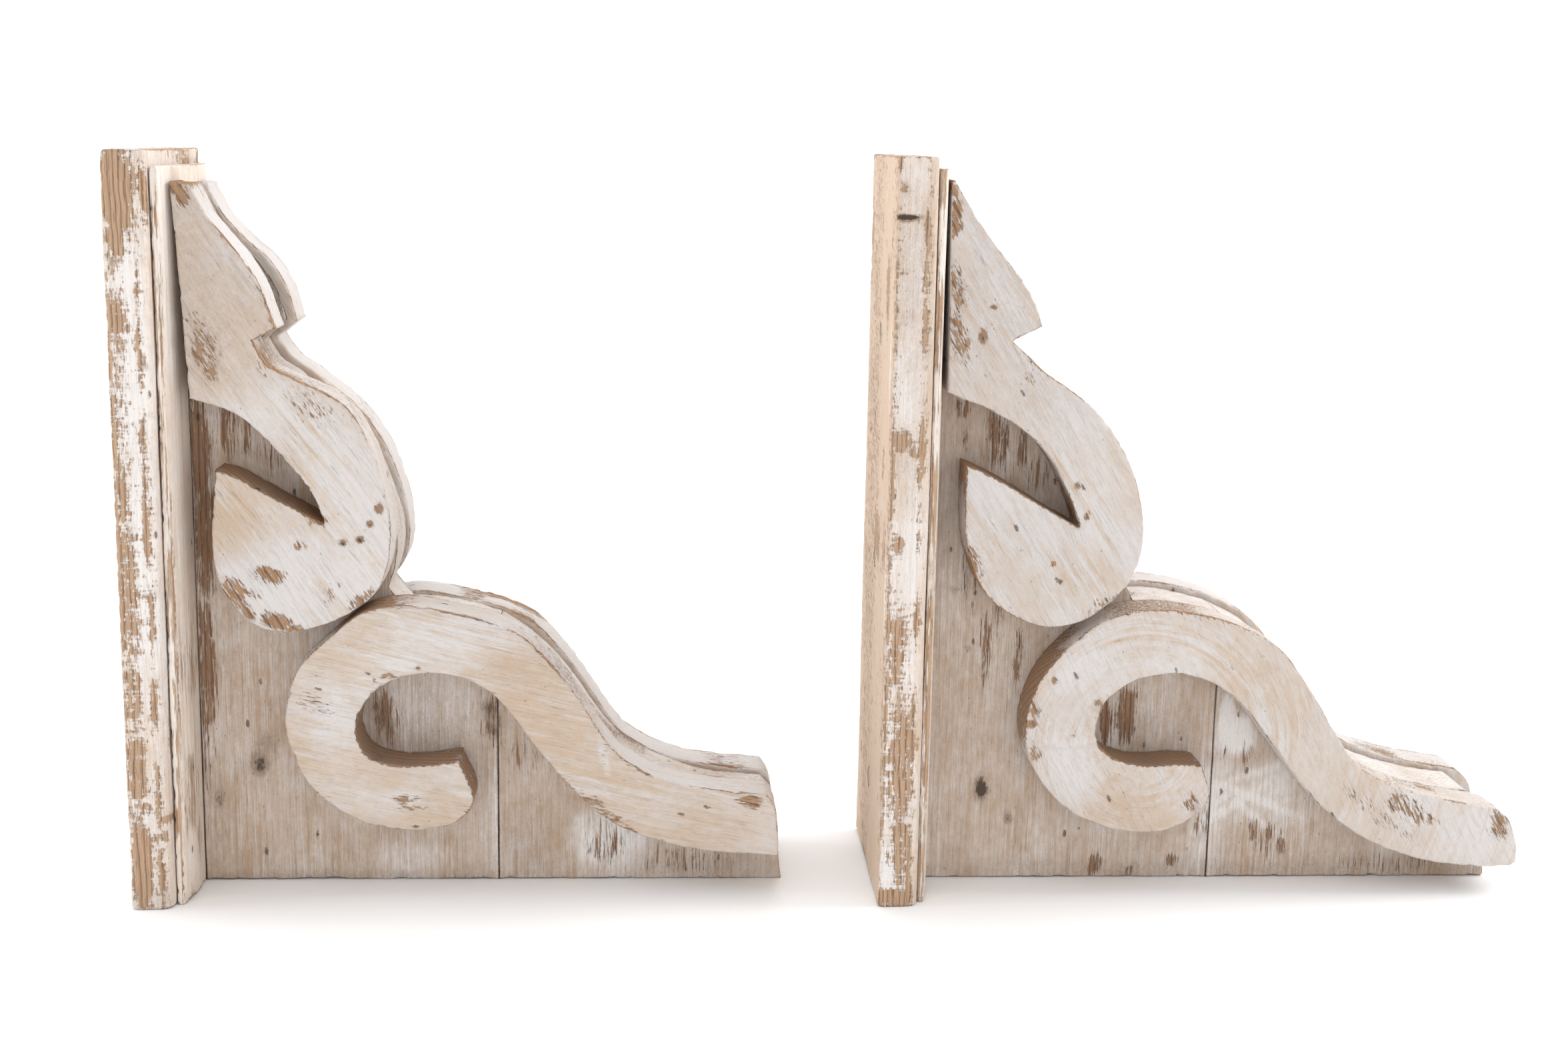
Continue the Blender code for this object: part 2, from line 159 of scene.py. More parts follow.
def rough(places: Points, size: tuple[float, float, float], seed: int, octaves: int = 2) -> Points:
    """Smooth noise from -1 to 1.

    Args:
        places: Rows of three coordinates.
        size: Length of the largest bumps along each coordinate.
        seed: Picks another pattern.
        octaves: How many times detail of half the size is added.

    Returns:
        One value for each row.
    """
    total = np.zeros(len(places))
    for octave in range(octaves):
        scaled = places / np.array(size) * 2**octave
        cells = np.floor(scaled).astype(np.int64)
        part = scaled - cells
        ease = part * part * (3 - 2 * part)
        value = np.zeros(len(places))
        for corner in np.ndindex(2, 2, 2):
            share = np.prod(np.where(corner, ease, 1 - ease), axis=1)
            value += share * cell_values(cells + corner, seed + 17 * octave)
        total += value / 2**octave
    return total / 1.4


def ease_between(low: float, high: float, value: Points) -> Points:
    """A smooth step.

    Args:
        low: Where it is 0.
        high: Where it is 1.
        value: The values to ease.

    Returns:
        The eased values, from 0 to 1.
    """
    part = np.clip((value - low) / (high - low), 0, 1)
    return part * part * (3 - 2 * part)


def flat_loops(node: str, lie: Lie) -> list[Points]:
    """The outline and holes of a CAD node's lowest flat face, across its thickness.

    Args:
        node: The CAD node's name.
        lie: How the board lies.

    Returns:
        Closed loops of points, in millimetres: the outline first, anticlockwise.
    """
    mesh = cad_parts[node].data
    mesh.calc_loop_triangles()
    places = np.empty(3 * len(mesh.vertices))
    mesh.vertices.foreach_get("co", places)
    places = places.reshape(-1, 3) / MM
    corners = np.empty(3 * len(mesh.loop_triangles), np.int32)
    mesh.loop_triangles.foreach_get("vertices", corners)
    corners = corners.reshape(-1, 3)
    first, second, depth = lie.value
    lowest = places[:, depth].min()
    flat = np.abs(places[corners][..., depth] - lowest).max(axis=1) < FLAT_WITHIN
    spots, same = np.unique(np.round(places[:, [first, second]], 2), axis=0, return_inverse=True)
    triangles = same.reshape(-1)[corners[flat]]
    edges = {(int(t[i - 1]), int(t[i])) for t in triangles for i in range(3)}
    following = {a: b for a, b in edges if (b, a) not in edges}
    loops = []
    while following:
        at, loop = next(iter(following)), []
        while at in following:
            loop.append(at)
            at = following.pop(at)
        loops.append(spots[loop])
    loops.sort(key=lambda loop: -abs(signed_area(loop)))
    return [loop if signed_area(loop) > 0 else loop[::-1] for loop in loops]


def signed_area(loop: Points) -> float:
    """Area inside a closed loop.

    Args:
        loop: The closed loop.

    Returns:
        The area, positive where the loop runs anticlockwise.
    """
    after = np.roll(loop, -1, axis=0)
    return float(np.sum(loop[:, 0] * after[:, 1] - after[:, 0] * loop[:, 1]) / 2)


def redrawn(loop: Points, step: float) -> Points:
    """A loop with points about step apart, curved between soft knots and sharp at corners.

    Args:
        loop: The closed loop.
        step: Distance between the new points.

    Returns:
        The new closed loop.
    """
    ahead = np.roll(loop, -1, axis=0) - loop
    behind = np.roll(ahead, 1, axis=0)
    turns = np.arctan2(
        behind[:, 0] * ahead[:, 1] - behind[:, 1] * ahead[:, 0], np.sum(behind * ahead, axis=1)
    )
    corner = np.abs(turns) > CORNER_ANGLE
    count = len(loop)
    found = []
    for i in range(count):
        start, end = loop[i], loop[(i + 1) % count]
        before = 2 * start - end if corner[i] else loop[i - 1]
        after = 2 * end - start if corner[(i + 1) % count] else loop[(i + 2) % count]
        span = np.linalg.norm(end - start)
        lead = min(1.0, span / max(np.linalg.norm(start - before), 1e-6))
        tail = min(1.0, span / max(np.linalg.norm(after - end), 1e-6))
        leaving = ((start - before) * lead + (end - start)) / 2
        arriving = ((end - start) + (after - end) * tail) / 2
        for t in np.arange(max(1, round(span / step))) / max(1, round(span / step)):
            a, b = 2 * t**3 - 3 * t**2 + 1, t**3 - 2 * t**2 + t
            c, d = 3 * t**2 - 2 * t**3, t**3 - t**2
            found.append(a * start + b * leaving + c * end + d * arriving)
    return np.array(found)


def inward(loop: Points) -> Points:
    """Unit vectors that point into a loop.

    Args:
        loop: The closed loop, anticlockwise.

    Returns:
        One vector for each of its points.
    """
    along = np.roll(loop, -1, axis=0) - np.roll(loop, 1, axis=0)
    along /= np.maximum(np.linalg.norm(along, axis=1, keepdims=True), 1e-9)
    return np.stack((-along[:, 1], along[:, 0]), axis=1)


def nearest(places: Points, loop: Points) -> tuple[Points, Points]:
    """Distance from each place to a closed loop, and the loop's point that is nearest.

    Args:
        places: Points in the loop's plane.
        loop: The closed loop.

    Returns:
        The distances, and the index of the nearest loop point for each place.
    """
    after = np.roll(loop, -1, axis=0)
    run = after - loop
    squared = np.maximum(np.sum(run * run, axis=1), 1e-12)
    distances = np.empty(len(places))
    indices = np.empty(len(places), int)
    for start in range(0, len(places), PLACES_AT_ONCE):
        stop = start + PLACES_AT_ONCE
        part = places[start:stop, None] - loop
        share = np.clip(np.sum(part * run, axis=2) / squared, 0, 1)
        away = np.linalg.norm(part - share[..., None] * run, axis=2)
        at = away.argmin(axis=1)
        rows = np.arange(len(at))
        distances[start:stop] = away[rows, at]
        indices[start:stop] = (at + (share[rows, at] > 0.5)) % len(loop)
    return distances, indices


def is_inside(places: Points, loop: Points) -> Points:
    """Whether each place is inside a closed loop, by counting the edges to its right.

    Args:
        places: Points in the loop's plane.
        loop: The closed loop.

    Returns:
        True or False for each place.
    """
    after = np.roll(loop, -1, axis=0)
    crossings = np.zeros(len(places), int)
    for (x0, y0), (x1, y1) in zip(loop, after):
        straddles = (places[:, 1] < y0) != (places[:, 1] < y1)
        if y0 != y1:
            at = x0 + (places[:, 1] - y0) / (y1 - y0) * (x1 - x0)
            crossings += straddles & (places[:, 0] < at)
    return crossings % 2 == 1


def scattered(loop: Points, step: float, seed: int) -> Points:
    """Points inside a loop for a fine mesh: rings close to the edge, then a loose lattice.

    Args:
        loop: The closed outline.
        step: Distance between the lattice's points.
        seed: Picks how the lattice is jogged.

    Returns:
        Rows of two coordinates.
    """
    rings = []
    for distance in RING_DISTANCES:
        ring = loop + inward(loop) * distance
        ring = ring[:: 1 if distance < 1.5 else 2]
        away, _ = nearest(ring, loop)
        rings.append(ring[(away > distance * 0.93) & is_inside(ring, loop)])
    low, high = loop.min(axis=0), loop.max(axis=0)
    rise = step * math.sqrt(3) / 2
    columns = np.arange(low[0], high[0], step)
    rows = np.arange(low[1], high[1], rise)
    grid = np.array([(x + step / 2 * (j % 2), y) for j, y in enumerate(rows) for x in columns])
    cells = np.round(np.c_[grid, grid[:, :1]] * 9).astype(int)
    jog = np.stack([cell_values(cells, seed + axis) for axis in (0, 1)], 1)
    grid = grid + jog * step * 0.18
    grid = grid[is_inside(grid, loop)]
    away, _ = nearest(grid, loop)
    return np.vstack([*rings, grid[away > RING_DISTANCES[-1] + step * 0.45]])


def filled(outline: Points, holes: list[Points], inner: Points) -> tuple[Points, Points]:
    """Triangles that fill an outline, around its holes.

    Args:
        outline: The closed outline.
        holes: Closed loops inside it.
        inner: Loose points inside it.

    Returns:
        All the points (the outline's first, then the holes'), and rows of three indices.
    """
    places = np.vstack([outline, *holes, inner])
    loops, start = [], 0
    for loop in (outline, *holes):
        loops.append(list(range(start, start + len(loop))))
        start += len(loop)
    hole_edges = [(a, b) for loop in loops[1:] for a, b in zip(loop, loop[1:] + loop[:1])]
    vertices = [Vector(place) for place in places]
    _, _, faces, sources, _, _ = delaunay_2d_cdt(vertices, hole_edges, [loops[0]], 1, 1e-5)
    triangles = np.array([[sources[i][0] for i in face] for face in faces])
    keep = np.ones(len(triangles), bool)
    for hole in holes:
        keep &= ~is_inside(places[triangles].mean(axis=1), hole)
    triangles = triangles[keep]
    a, b, c = (places[triangles[:, i]] for i in range(3))
    area = (b[:, 0] - a[:, 0]) * (c[:, 1] - a[:, 1]) - (b[:, 1] - a[:, 1]) * (c[:, 0] - a[:, 0])
    triangles[area < 0] = triangles[area < 0][:, ::-1]
    return places, triangles


@dataclass(frozen=True)
class Strokes:
    """Which way a brush or saw went over a board: straight, or round a centre."""

    angle: float = 90.0
    centre: Pair | None = None

    def lay(self, plane: Points, through: Points) -> Points:
        """Coordinates across, through and along the strokes.

        Args:
            plane: Points in the outline's plane.
            through: Their places along the thickness.

        Returns:
            Rows of three coordinates in millimetres.
        """
        if self.centre:
            away = plane - np.array(self.centre)
            across = np.hypot(away[:, 0], away[:, 1])
            along = np.arctan2(away[:, 1], away[:, 0]) * 60
            return np.stack((across, through, along), axis=1)
        turn = math.radians(self.angle)
        along = plane[:, 0] * math.cos(turn) + plane[:, 1] * math.sin(turn)
        across = plane[:, 1] * math.cos(turn) - plane[:, 0] * math.sin(turn)
        return np.stack((across, through, along), axis=1)


class Bench:
    """Adds and joins the nodes of one shader tree."""

    def __init__(self, tree: bpy.types.NodeTree) -> None:
        """Keep the tree that the nodes go in."""
        self.tree = tree

    def add(self, kind: str, inputs: dict | None = None, **settings: object) -> bpy.types.Node:
        """Add a node.

        Args:
            kind: The node type's name after "ShaderNode".
            inputs: For each socket, by name or index, a value or the socket to join to it.
            **settings: The node's own properties.

        Returns:
            The new node.
        """
        node = self.tree.nodes.new("ShaderNode" + kind)
        for name, value in settings.items():
            setattr(node, name, value)
        for key, value in (inputs or {}).items():
            self.feed(node.inputs[key], value)
        return node

    def feed(self, socket: Socket, value: object) -> None:
        """Give an input its value.

        Args:
            socket: The input.
            value: A number, a colour or a vector, or the socket to join to the input.
        """
        if isinstance(value, Socket):
            self.tree.links.new(value, socket)
        elif socket.type == "RGBA":
            socket.default_value = (*value, 1.0)
        else:
            socket.default_value = value

    def math(self, operation: str, *values: object, clamp: bool = False) -> Socket:
        """The result of a Math node on these values."""
        node = self.add("Math", dict(enumerate(values)), operation=operation, use_clamp=clamp)
        return node.outputs[0]

    def stretch(self, place: object, scale: object) -> Socket:
        """A vector multiplied by a scale for each axis."""
        return self.add("VectorMath", {0: place, 1: scale}, operation="MULTIPLY").outputs[0]

    def noise(self, place: object, detail: float = 3.0, roughness: float = 0.55) -> Socket:
        """Noise with lumps about 1 long, spread to run from about 0 to 1.

        Args:
            place: Where to read it.
            detail: How many finer layers it has.
            roughness: How strong they are.

        Returns:
            The noise.
        """
        inputs = {"Vector": place, "Scale": 1.0, "Detail": detail, "Roughness": roughness}
        node = self.add("TexNoise", inputs)
        return self.add("MapRange", {0: node.outputs[0], 1: 0.28, 2: 0.72}, clamp=True).outputs[0]

    def step(self, value: object, low: float, high: float) -> Socket:
        """A smooth step, from 0 at low to 1 at high."""
        inputs = {0: value, 1: low, 2: high}
        return self.add("MapRange", inputs, interpolation_type="SMOOTHSTEP").outputs[0]

    def mix(self, share: object, first: object, second: object) -> Socket:
        """Two colours mixed.

        Args:
            share: How much of the second there is.
            first: A colour, or the socket to join.
            second: A colour, or the socket to join.

        Returns:
            The mixed colour.
        """
        node = self.add("Mix", {0: share}, data_type="RGBA")
        self.feed(node.inputs[6], first)
        self.feed(node.inputs[7], second)
        return node.outputs[2]

    def attribute(self, name: str, output: str = "Fac") -> Socket:
        """A value that the mesh holds at each of its points."""
        return self.add("Attribute", attribute_name=name).outputs[output]


class Effect(Enum):
    """The shader groups that the finishes share."""

    GRAIN = "wood grain"
    FLAKING = "flaking paint"
    STROKES = "brush strokes"
    SPECKS = "pits and specks"
    # One group for real grime and for painted shade in cracks and on shaded walls.
    GRIME = "settled grime"


class Effects:
    """Builds each shared shader group once and places it in a material."""

    def __init__(self) -> None:
        """Build every group."""
        makers = {
            Effect.GRAIN: self.make_grain,
            Effect.FLAKING: self.make_flaking,
            Effect.STROKES: self.make_strokes,
            Effect.SPECKS: self.make_specks,
            Effect.GRIME: self.make_grime_and_shade,
        }
        self.groups = {effect: make(effect.value) for effect, make in makers.items()}

    def place(self, bench: Bench, effect: Effect, inputs: dict) -> bpy.types.Node:
        """Put a group in a material, with a value, a colour or a socket for each input."""
        return bench.add("Group", inputs, node_tree=self.groups[effect])

    @staticmethod
    def start(
        name: str, inputs: dict[str, str], outputs: dict[str, str]
    ) -> tuple[Bench, bpy.types.Node, bpy.types.Node]:
        """Begin a group.

        Args:
            name: The group's name.
            inputs: The kind of each input socket, by name.
            outputs: The kind of each output socket, by name.

        Returns:
            The bench for its nodes, its input node and its output node.
        """
        tree = bpy.data.node_groups.new(name, "ShaderNodeTree")
        for sockets, way in ((inputs, "INPUT"), (outputs, "OUTPUT")):
            for socket, kind in sockets.items():
                tree.interface.new_socket(socket, in_out=way, socket_type=f"NodeSocket{kind}")
        bench = Bench(tree)
        given = tree.nodes.new("NodeGroupInput")
        result = tree.nodes.new("NodeGroupOutput")
        return bench, given, result

    def make_grain(self, name: str) -> bpy.types.NodeTree:
        """Softwood: growth lines, fibres and short dark pores along the last coordinate.

        Args:
            name: The group's name.

        Returns:
            The group.
        """
        bench, given, result = self.start(
            name,
            {"Place": "Vector", "Light": "Color", "Dark": "Color", "Pitch": "Float"},
            {"Color": "Color", "Line": "Float", "Height": "Float"},
        )
        place, pitch = given.outputs["Place"], given.outputs["Pitch"]
        bend = bench.noise(bench.stretch(place, (0.05, 0.05, 0.006)), 2.0)
        split = bench.add("SeparateXYZ", {0: place})
        across = bench.math("MULTIPLY_ADD", split.outputs[1], 0.85, split.outputs[0])
        wandering = bench.math("MULTIPLY_ADD", bend, 3.5, across)
        ring = bench.math("FRACT", bench.math("DIVIDE", wandering, pitch))
        late = bench.math("MULTIPLY", bench.step(ring, 0.5, 0.92), bench.step(ring, 1.0, 0.94))
        fibre = bench.noise(bench.stretch(place, (2.6, 2.6, 0.09)), 4.0, 0.6)
        pores = bench.step(bench.noise(bench.stretch(place, (1.7, 1.7, 0.1)), 2.0), 0.72, 0.9)
        tone = bench.math("MULTIPLY_ADD", late, 0.6, bench.math("MULTIPLY", fibre, 0.5))
        tone = bench.math("MULTIPLY_ADD", pores, 0.4, tone, clamp=True)
        colour = bench.mix(tone, given.outputs["Light"], given.outputs["Dark"])
        raised = bench.math("MULTIPLY_ADD", late, 0.08, bench.math("MULTIPLY", fibre, 0.12))
        height = bench.math("MULTIPLY_ADD", pores, -0.15, raised)
        bench.feed(result.inputs["Color"], colour)
        bench.feed(result.inputs["Line"], bench.math("MAXIMUM", late, pores))
        bench.feed(result.inputs["Height"], height)
        return bench.tree

    def make_flaking(self, name: str) -> bpy.types.NodeTree:
        """Paint torn off along the grain wherever Bare is high.

        Args:
            name: The group's name.

        Returns:
            The group.
        """
        bench, given, result = self.start(
            name,
            {"Place": "Vector", "Bare": "Float", "Width": "Float", "Length": "Float", "Cross": "Float"},
            {"Wood": "Float", "Torn rim and shade": "Float", "Height": "Float"},
        )
        narrow = bench.math("DIVIDE", 1.0, given.outputs["Width"])
        short = bench.math("DIVIDE", 1.0, given.outputs["Length"])
        size = bench.add("CombineXYZ", {0: narrow, 1: narrow, 2: short}).outputs[0]
        coarse = bench.noise(bench.stretch(given.outputs["Place"], size), 5.0, 0.62)
        long = bench.math("MULTIPLY", short, 1.3)
        slim = bench.add("CombineXYZ", {0: 1.3, 1: 1.3, 2: long}).outputs[0]
        fine = bench.noise(bench.stretch(given.outputs["Place"], slim), 5.0, 0.7)
        scored = bench.noise(bench.stretch(given.outputs["Place"], (0.16, 0.16, 0.9)), 4.0, 0.65)
        scored = bench.math("MULTIPLY", bench.math("SUBTRACT", scored, 0.5), given.outputs["Cross"])
        hair = bench.noise(bench.stretch(given.outputs["Place"], (3.2, 3.2, 0.3)), 3.0, 0.7)
        field = bench.math("MULTIPLY_ADD", coarse, 0.36, bench.math("MULTIPLY", fine, 0.46))
        field = bench.math("MULTIPLY_ADD", hair, 0.18, field)
        field = bench.math("MULTIPLY_ADD", field, 1.35, -0.15)
        field = bench.math("ADD", field, scored)
        lost = bench.math("SUBTRACT", given.outputs["Bare"], field)
        wood = bench.step(lost, -0.02, 0.035)
        near = bench.step(lost, -0.2, -0.02)
        # A band just outside each flake; the material darkens it as painted shadow under the lifted
        # paint edge.
        torn = bench.math("SUBTRACT", near, wood, clamp=True)
        height = bench.math("MULTIPLY_ADD", wood, -0.2, 0.2)
        bench.feed(result.inputs["Wood"], wood)
        bench.feed(result.inputs["Torn rim and shade"], torn)
        bench.feed(result.inputs["Height"], height)
        return bench.tree

    def make_strokes(self, name: str) -> bpy.types.NodeTree:
        """Fine streaks that a dry brush leaves along the last coordinate.

        Args:
            name: The group's name.

        Returns:
            The group.
        """
        bench, given, result = self.start(
            name,
            {"Place": "Vector", "Width": "Float"},
            {"Streak": "Float", "Scratch": "Float", "Height": "Float"},
        )
        wide = bench.math("DIVIDE", 1.0, given.outputs["Width"])
        long = bench.math("MULTIPLY", wide, 0.035)
        size = bench.add("CombineXYZ", {0: wide, 1: wide, 2: long}).outputs[0]
        streaks = bench.noise(bench.stretch(given.outputs["Place"], size), 5.0, 0.68)
        hair = bench.noise(bench.stretch(given.outputs["Place"], (2.8, 2.8, 0.05)), 2.0)
        streak = bench.math("MULTIPLY_ADD", hair, 0.35, bench.math("MULTIPLY", streaks, 0.65))
        thin = bench.noise(bench.stretch(given.outputs["Place"], (1.5, 1.5, 0.07)), 3.0, 0.7)
        bench.feed(result.inputs["Streak"], streak)
        bench.feed(result.inputs["Scratch"], bench.step(thin, 0.72, 0.98))
        bench.feed(result.inputs["Height"], bench.math("MULTIPLY", streak, 0.14))
        return bench.tree

    def make_specks(self, name: str) -> bpy.types.NodeTree:
        """Small scattered pits, longer along the last coordinate.

        Args:
            name: The group's name.

        Returns:
            The group.
        """
        bench, given, result = self.start(
            name, {"Place": "Vector", "Spacing": "Float", "Share": "Float"}, {"Speck": "Float"}
        )
        scale = bench.math("DIVIDE", 1.0, given.outputs["Spacing"])
        size = bench.add("CombineXYZ", {0: scale, 1: scale, 2: bench.math("MULTIPLY", scale, 0.45)})
        place = bench.stretch(given.outputs["Place"], size.outputs[0])
        cells = bench.add("TexVoronoi", {"Vector": place, "Scale": 1.0})
        wobble = bench.noise(bench.stretch(given.outputs["Place"], (2.2, 2.2, 1.0)), 2.0)
        away = bench.math("MULTIPLY_ADD", wobble, 0.12, cells.outputs["Distance"])
        chance = bench.add("SeparateColor", {0: cells.outputs["Color"]}).outputs[0]
        chosen = bench.math("LESS_THAN", chance, given.outputs["Share"])
        speck = bench.math("MULTIPLY", bench.step(away, 0.22, 0.14), chosen)
        bench.feed(result.inputs["Speck"], speck)
        return bench.tree

    def make_grime_and_shade(self, name: str) -> bpy.types.NodeTree:
        """Blotches of dust, and painted shade, where the input is high; near-black where it is highest.

        Args:
            name: The group's name.

        Returns:
            The group.
        """
        bench, given, result = self.start(
            name, {"Place": "Vector", "Grime": "Float"}, {"Dirt and shade": "Float", "Black": "Float"}
        )
        blotch = bench.noise(bench.stretch(given.outputs["Place"], (0.09, 0.09, 0.05)), 4.0, 0.6)
        grit = bench.noise(bench.stretch(given.outputs["Place"], (1.6, 1.6, 0.9)), 3.0, 0.7)
        mixed = bench.math("MULTIPLY_ADD", grit, 0.75, bench.math("MULTIPLY", blotch, 0.45))
        # The input holds real dirt and also painted shade, so this darkening is both.
        dirt_and_shade = bench.math("MULTIPLY", mixed, given.outputs["Grime"], clamp=True)
        black = bench.math("MULTIPLY_ADD", grit, 0.8, given.outputs["Grime"])
        bench.feed(result.inputs["Dirt and shade"], dirt_and_shade)
        bench.feed(result.inputs["Black"], bench.step(black, 2.0, 2.6))
        return bench.tree


@dataclass(frozen=True)
class Finish:
    """What every finish has: its own name and the record's material slot."""

    name: str
    slot: str

    def start(self) -> tuple[bpy.types.Material, Bench, bpy.types.Node]:
        """Begin the material.

        Returns:
            The material, the bench for its nodes and its main shader.
        """
        material = bpy.data.materials.new(self.name)
        material.use_nodes = True
        return material, Bench(material.node_tree), material.node_tree.nodes["Principled BSDF"]


@dataclass(frozen=True)
class Whitewash(Finish):
    """Thin paint over softwood: the colours of the paint and wood, and how it flakes."""

    chalk: Colour
    wash: Colour
    stain_and_shade: Colour
    wood_light: Colour
    wood_dark: Colour
    flake_width: float
    flake_length: float
    cross_scratches: float
    ring_pitch: float
    stroke_width: float
    see_through: float
    line_shows: float
    streaks: float = 1.3

    def material(self, effects: Effects) -> bpy.types.Material:
        """The finish as a material.

        Args:
            effects: The shared shader groups.

        Returns:
            The new material.
        """
        material, bench, shader = self.start()
        along = bench.attribute("grain_place", "Vector")
        brushed = bench.attribute("stroke_place", "Vector")
        grain = effects.place(
            bench,
            Effect.GRAIN,
            {"Place": along, "Light": self.wood_light, "Dark": self.wood_dark, "Pitch": self.ring_pitch},
        )
        flaking = effects.place(
            bench,
            Effect.FLAKING,
            {
                "Place": along,
                "Bare": bench.attribute("bare"),
                "Width": self.flake_width,
                "Length": self.flake_length,
                "Cross": self.cross_scratches,
            },
        )
        strokes = effects.place(bench, Effect.STROKES, {"Place": brushed, "Width": self.stroke_width})
        specks = effects.place(bench, Effect.SPECKS, {"Place": along, "Spacing": 5.0, "Share": 0.16})
        # The grime and shade attribute holds real dirt and also painted shade; it also thickens the dark
        # dots.
        share = bench.math("MULTIPLY", bench.attribute("grime"), 0.4)
        dots = effects.place(bench, Effect.SPECKS, {"Place": along, "Spacing": 1.7, "Share": share})
        grime = effects.place(bench, Effect.GRIME, {"Place": along, "Grime": bench.attribute("grime")})
        broad = bench.noise(bench.stretch(brushed, (0.05, 0.05, 0.03)), 5.0, 0.62)
        mottled = bench.noise(bench.stretch(brushed, (0.42, 0.42, 0.22)), 4.0, 0.65)
        dry = bench.step(bench.noise(bench.stretch(brushed, (0.07, 0.07, 0.02)), 2.0), 0.35, 0.75)
        streak = bench.math("SUBTRACT", strokes.outputs["Streak"], 0.5)
        streak = bench.math("MULTIPLY", streak, bench.math("MULTIPLY_ADD", dry, 0.9, 0.35))
        patchy = bench.math("MULTIPLY_ADD", broad, 0.7, -0.35)
        cover = bench.math("MULTIPLY_ADD", streak, self.streaks, patchy)
        cover = bench.math("ADD", cover, bench.math("MULTIPLY_ADD", mottled, 0.46, -0.23))
        cover = bench.math("ADD", cover, bench.attribute("chalk"), clamp=True)
        paint = bench.mix(cover, self.wash, self.chalk)
        thin = bench.math("MULTIPLY", bench.math("SUBTRACT", 1.0, cover), self.see_through)
        lines = bench.math("MULTIPLY", grain.outputs["Line"], self.line_shows)
        thin = bench.math("MAXIMUM", thin, lines)
        thin = bench.math("MULTIPLY", thin, bench.step(bench.attribute("chalk"), 1.5, 1.0))
        paint = bench.mix(thin, paint, grain.outputs["Color"])
        drier = bench.math("MULTIPLY_ADD", dry, 0.42, 0.1)
        scratch = bench.math("MULTIPLY", strokes.outputs["Scratch"], drier)
        paint = bench.mix(scratch, paint, self.stain_and_shade)
        grit = bench.noise(bench.stretch(along, (1.25, 1.25, 0.8)), 4.0, 0.75)
        paint = bench.mix(bench.math("MULTIPLY", bench.step(grit, 0.55, 1.0), 0.2), paint, self.stain_and_shade)
        # Painted shadow under each lifted flake edge, with some stain: the band round the torn paint is
        # pulled toward the stain colour.
        paint = bench.mix(bench.math("MULTIPLY", flaking.outputs["Torn rim and shade"], 0.4), paint, self.stain_and_shade)
        colour = bench.mix(flaking.outputs["Wood"], paint, grain.outputs["Color"])
        # Painted shade and real grime: the stain colour deepens seams, slot and curl walls and the upper
        # scrolls' tops, and goes near-black where heaviest, as in knots and cracks.
        colour = bench.mix(bench.math("MULTIPLY", grime.outputs["Dirt and shade"], 0.7), colour, self.stain_and_shade)
        colour = bench.mix(bench.math("MULTIPLY", dots.outputs["Speck"], 0.55), colour, self.wood_dark)
        colour = bench.mix(grime.outputs["Black"], colour, PIT_AND_SHADE_COLOUR)
        colour = bench.mix(bench.math("MULTIPLY", specks.outputs["Speck"], 0.8), colour, PIT_AND_SHADE_COLOUR)
        roughness = bench.math("MULTIPLY_ADD", flaking.outputs["Wood"], 0.16, 0.62)
        roughness = bench.math("MULTIPLY_ADD", strokes.outputs["Streak"], 0.12, roughness)
        height = bench.math("MULTIPLY_ADD", grain.outputs["Height"], 0.9, flaking.outputs["Height"])
        height = bench.math("ADD", height, strokes.outputs["Height"])
        height = bench.math("MULTIPLY_ADD", specks.outputs["Speck"], -0.5, height)
        bump = bench.add("Bump", {"Strength": 0.8, "Distance": MM, "Height": height})
        bench.feed(shader.inputs["Base Color"], colour)
        bench.feed(shader.inputs["Roughness"], roughness)
        bench.feed(shader.inputs["Normal"], bump.outputs[0])
        bench.feed(shader.inputs["Specular IOR Level"], 0.25)
        return material


@dataclass(frozen=True)
class PlainWood(Finish):
    """Bare turned wood, as on a dowel."""

    light: Colour
    dark: Colour
    pitch: float

    def material(self, effects: Effects) -> bpy.types.Material:
        """The finish as a material.

        Args:
            effects: The shared shader groups.

        Returns:
            The new material.
        """
        material, bench, shader = self.start()
        place = bench.attribute("grain_place", "Vector")
        inputs = {"Place": place, "Light": self.light, "Dark": self.dark, "Pitch": self.pitch}
        grain = effects.place(bench, Effect.GRAIN, inputs)
        height = grain.outputs["Height"]
        bump = bench.add("Bump", {"Strength": 0.6, "Distance": MM, "Height": height})
        bench.feed(shader.inputs["Base Color"], grain.outputs["Color"])
        bench.feed(shader.inputs["Normal"], bump.outputs[0])
        bench.feed(shader.inputs["Roughness"], 0.62)
        return material


@dataclass(frozen=True)
class Steel(Finish):
    """Metal with fine drawn scratches and dull spots."""

    bright: Colour
    dull: Colour
    roughness: float

    def material(self, effects: Effects) -> bpy.types.Material:
        """The finish as a material.

        Args:
            effects: The shared shader groups.

        Returns:
            The new material.
        """
        material, bench, shader = self.start()
        place = bench.attribute("grain_place", "Vector")
        close = bench.stretch(place, (6.0, 6.0, 6.0))
        strokes = effects.place(bench, Effect.STROKES, {"Place": place, "Width": 0.5})
        grime = effects.place(bench, Effect.GRIME, {"Place": close, "Grime": 0.8})
        colour = bench.mix(grime.outputs["Dirt and shade"], self.bright, self.dull)
        roughness = bench.math("MULTIPLY_ADD", grime.outputs["Dirt and shade"], 0.3, self.roughness)
        height = strokes.outputs["Height"]
        bump = bench.add("Bump", {"Strength": 0.3, "Distance": MM, "Height": height})
        bench.feed(shader.inputs["Base Color"], colour)
        bench.feed(shader.inputs["Roughness"], roughness)
        bench.feed(shader.inputs["Normal"], bump.outputs[0])
        bench.feed(shader.inputs["Metallic"], 1.0)
        return material


@dataclass
class Hole:
    """A stepped screw hole in a board's low face: distances down it, with the radius there."""

    centre: Pair
    steps: tuple[Pair, ...]


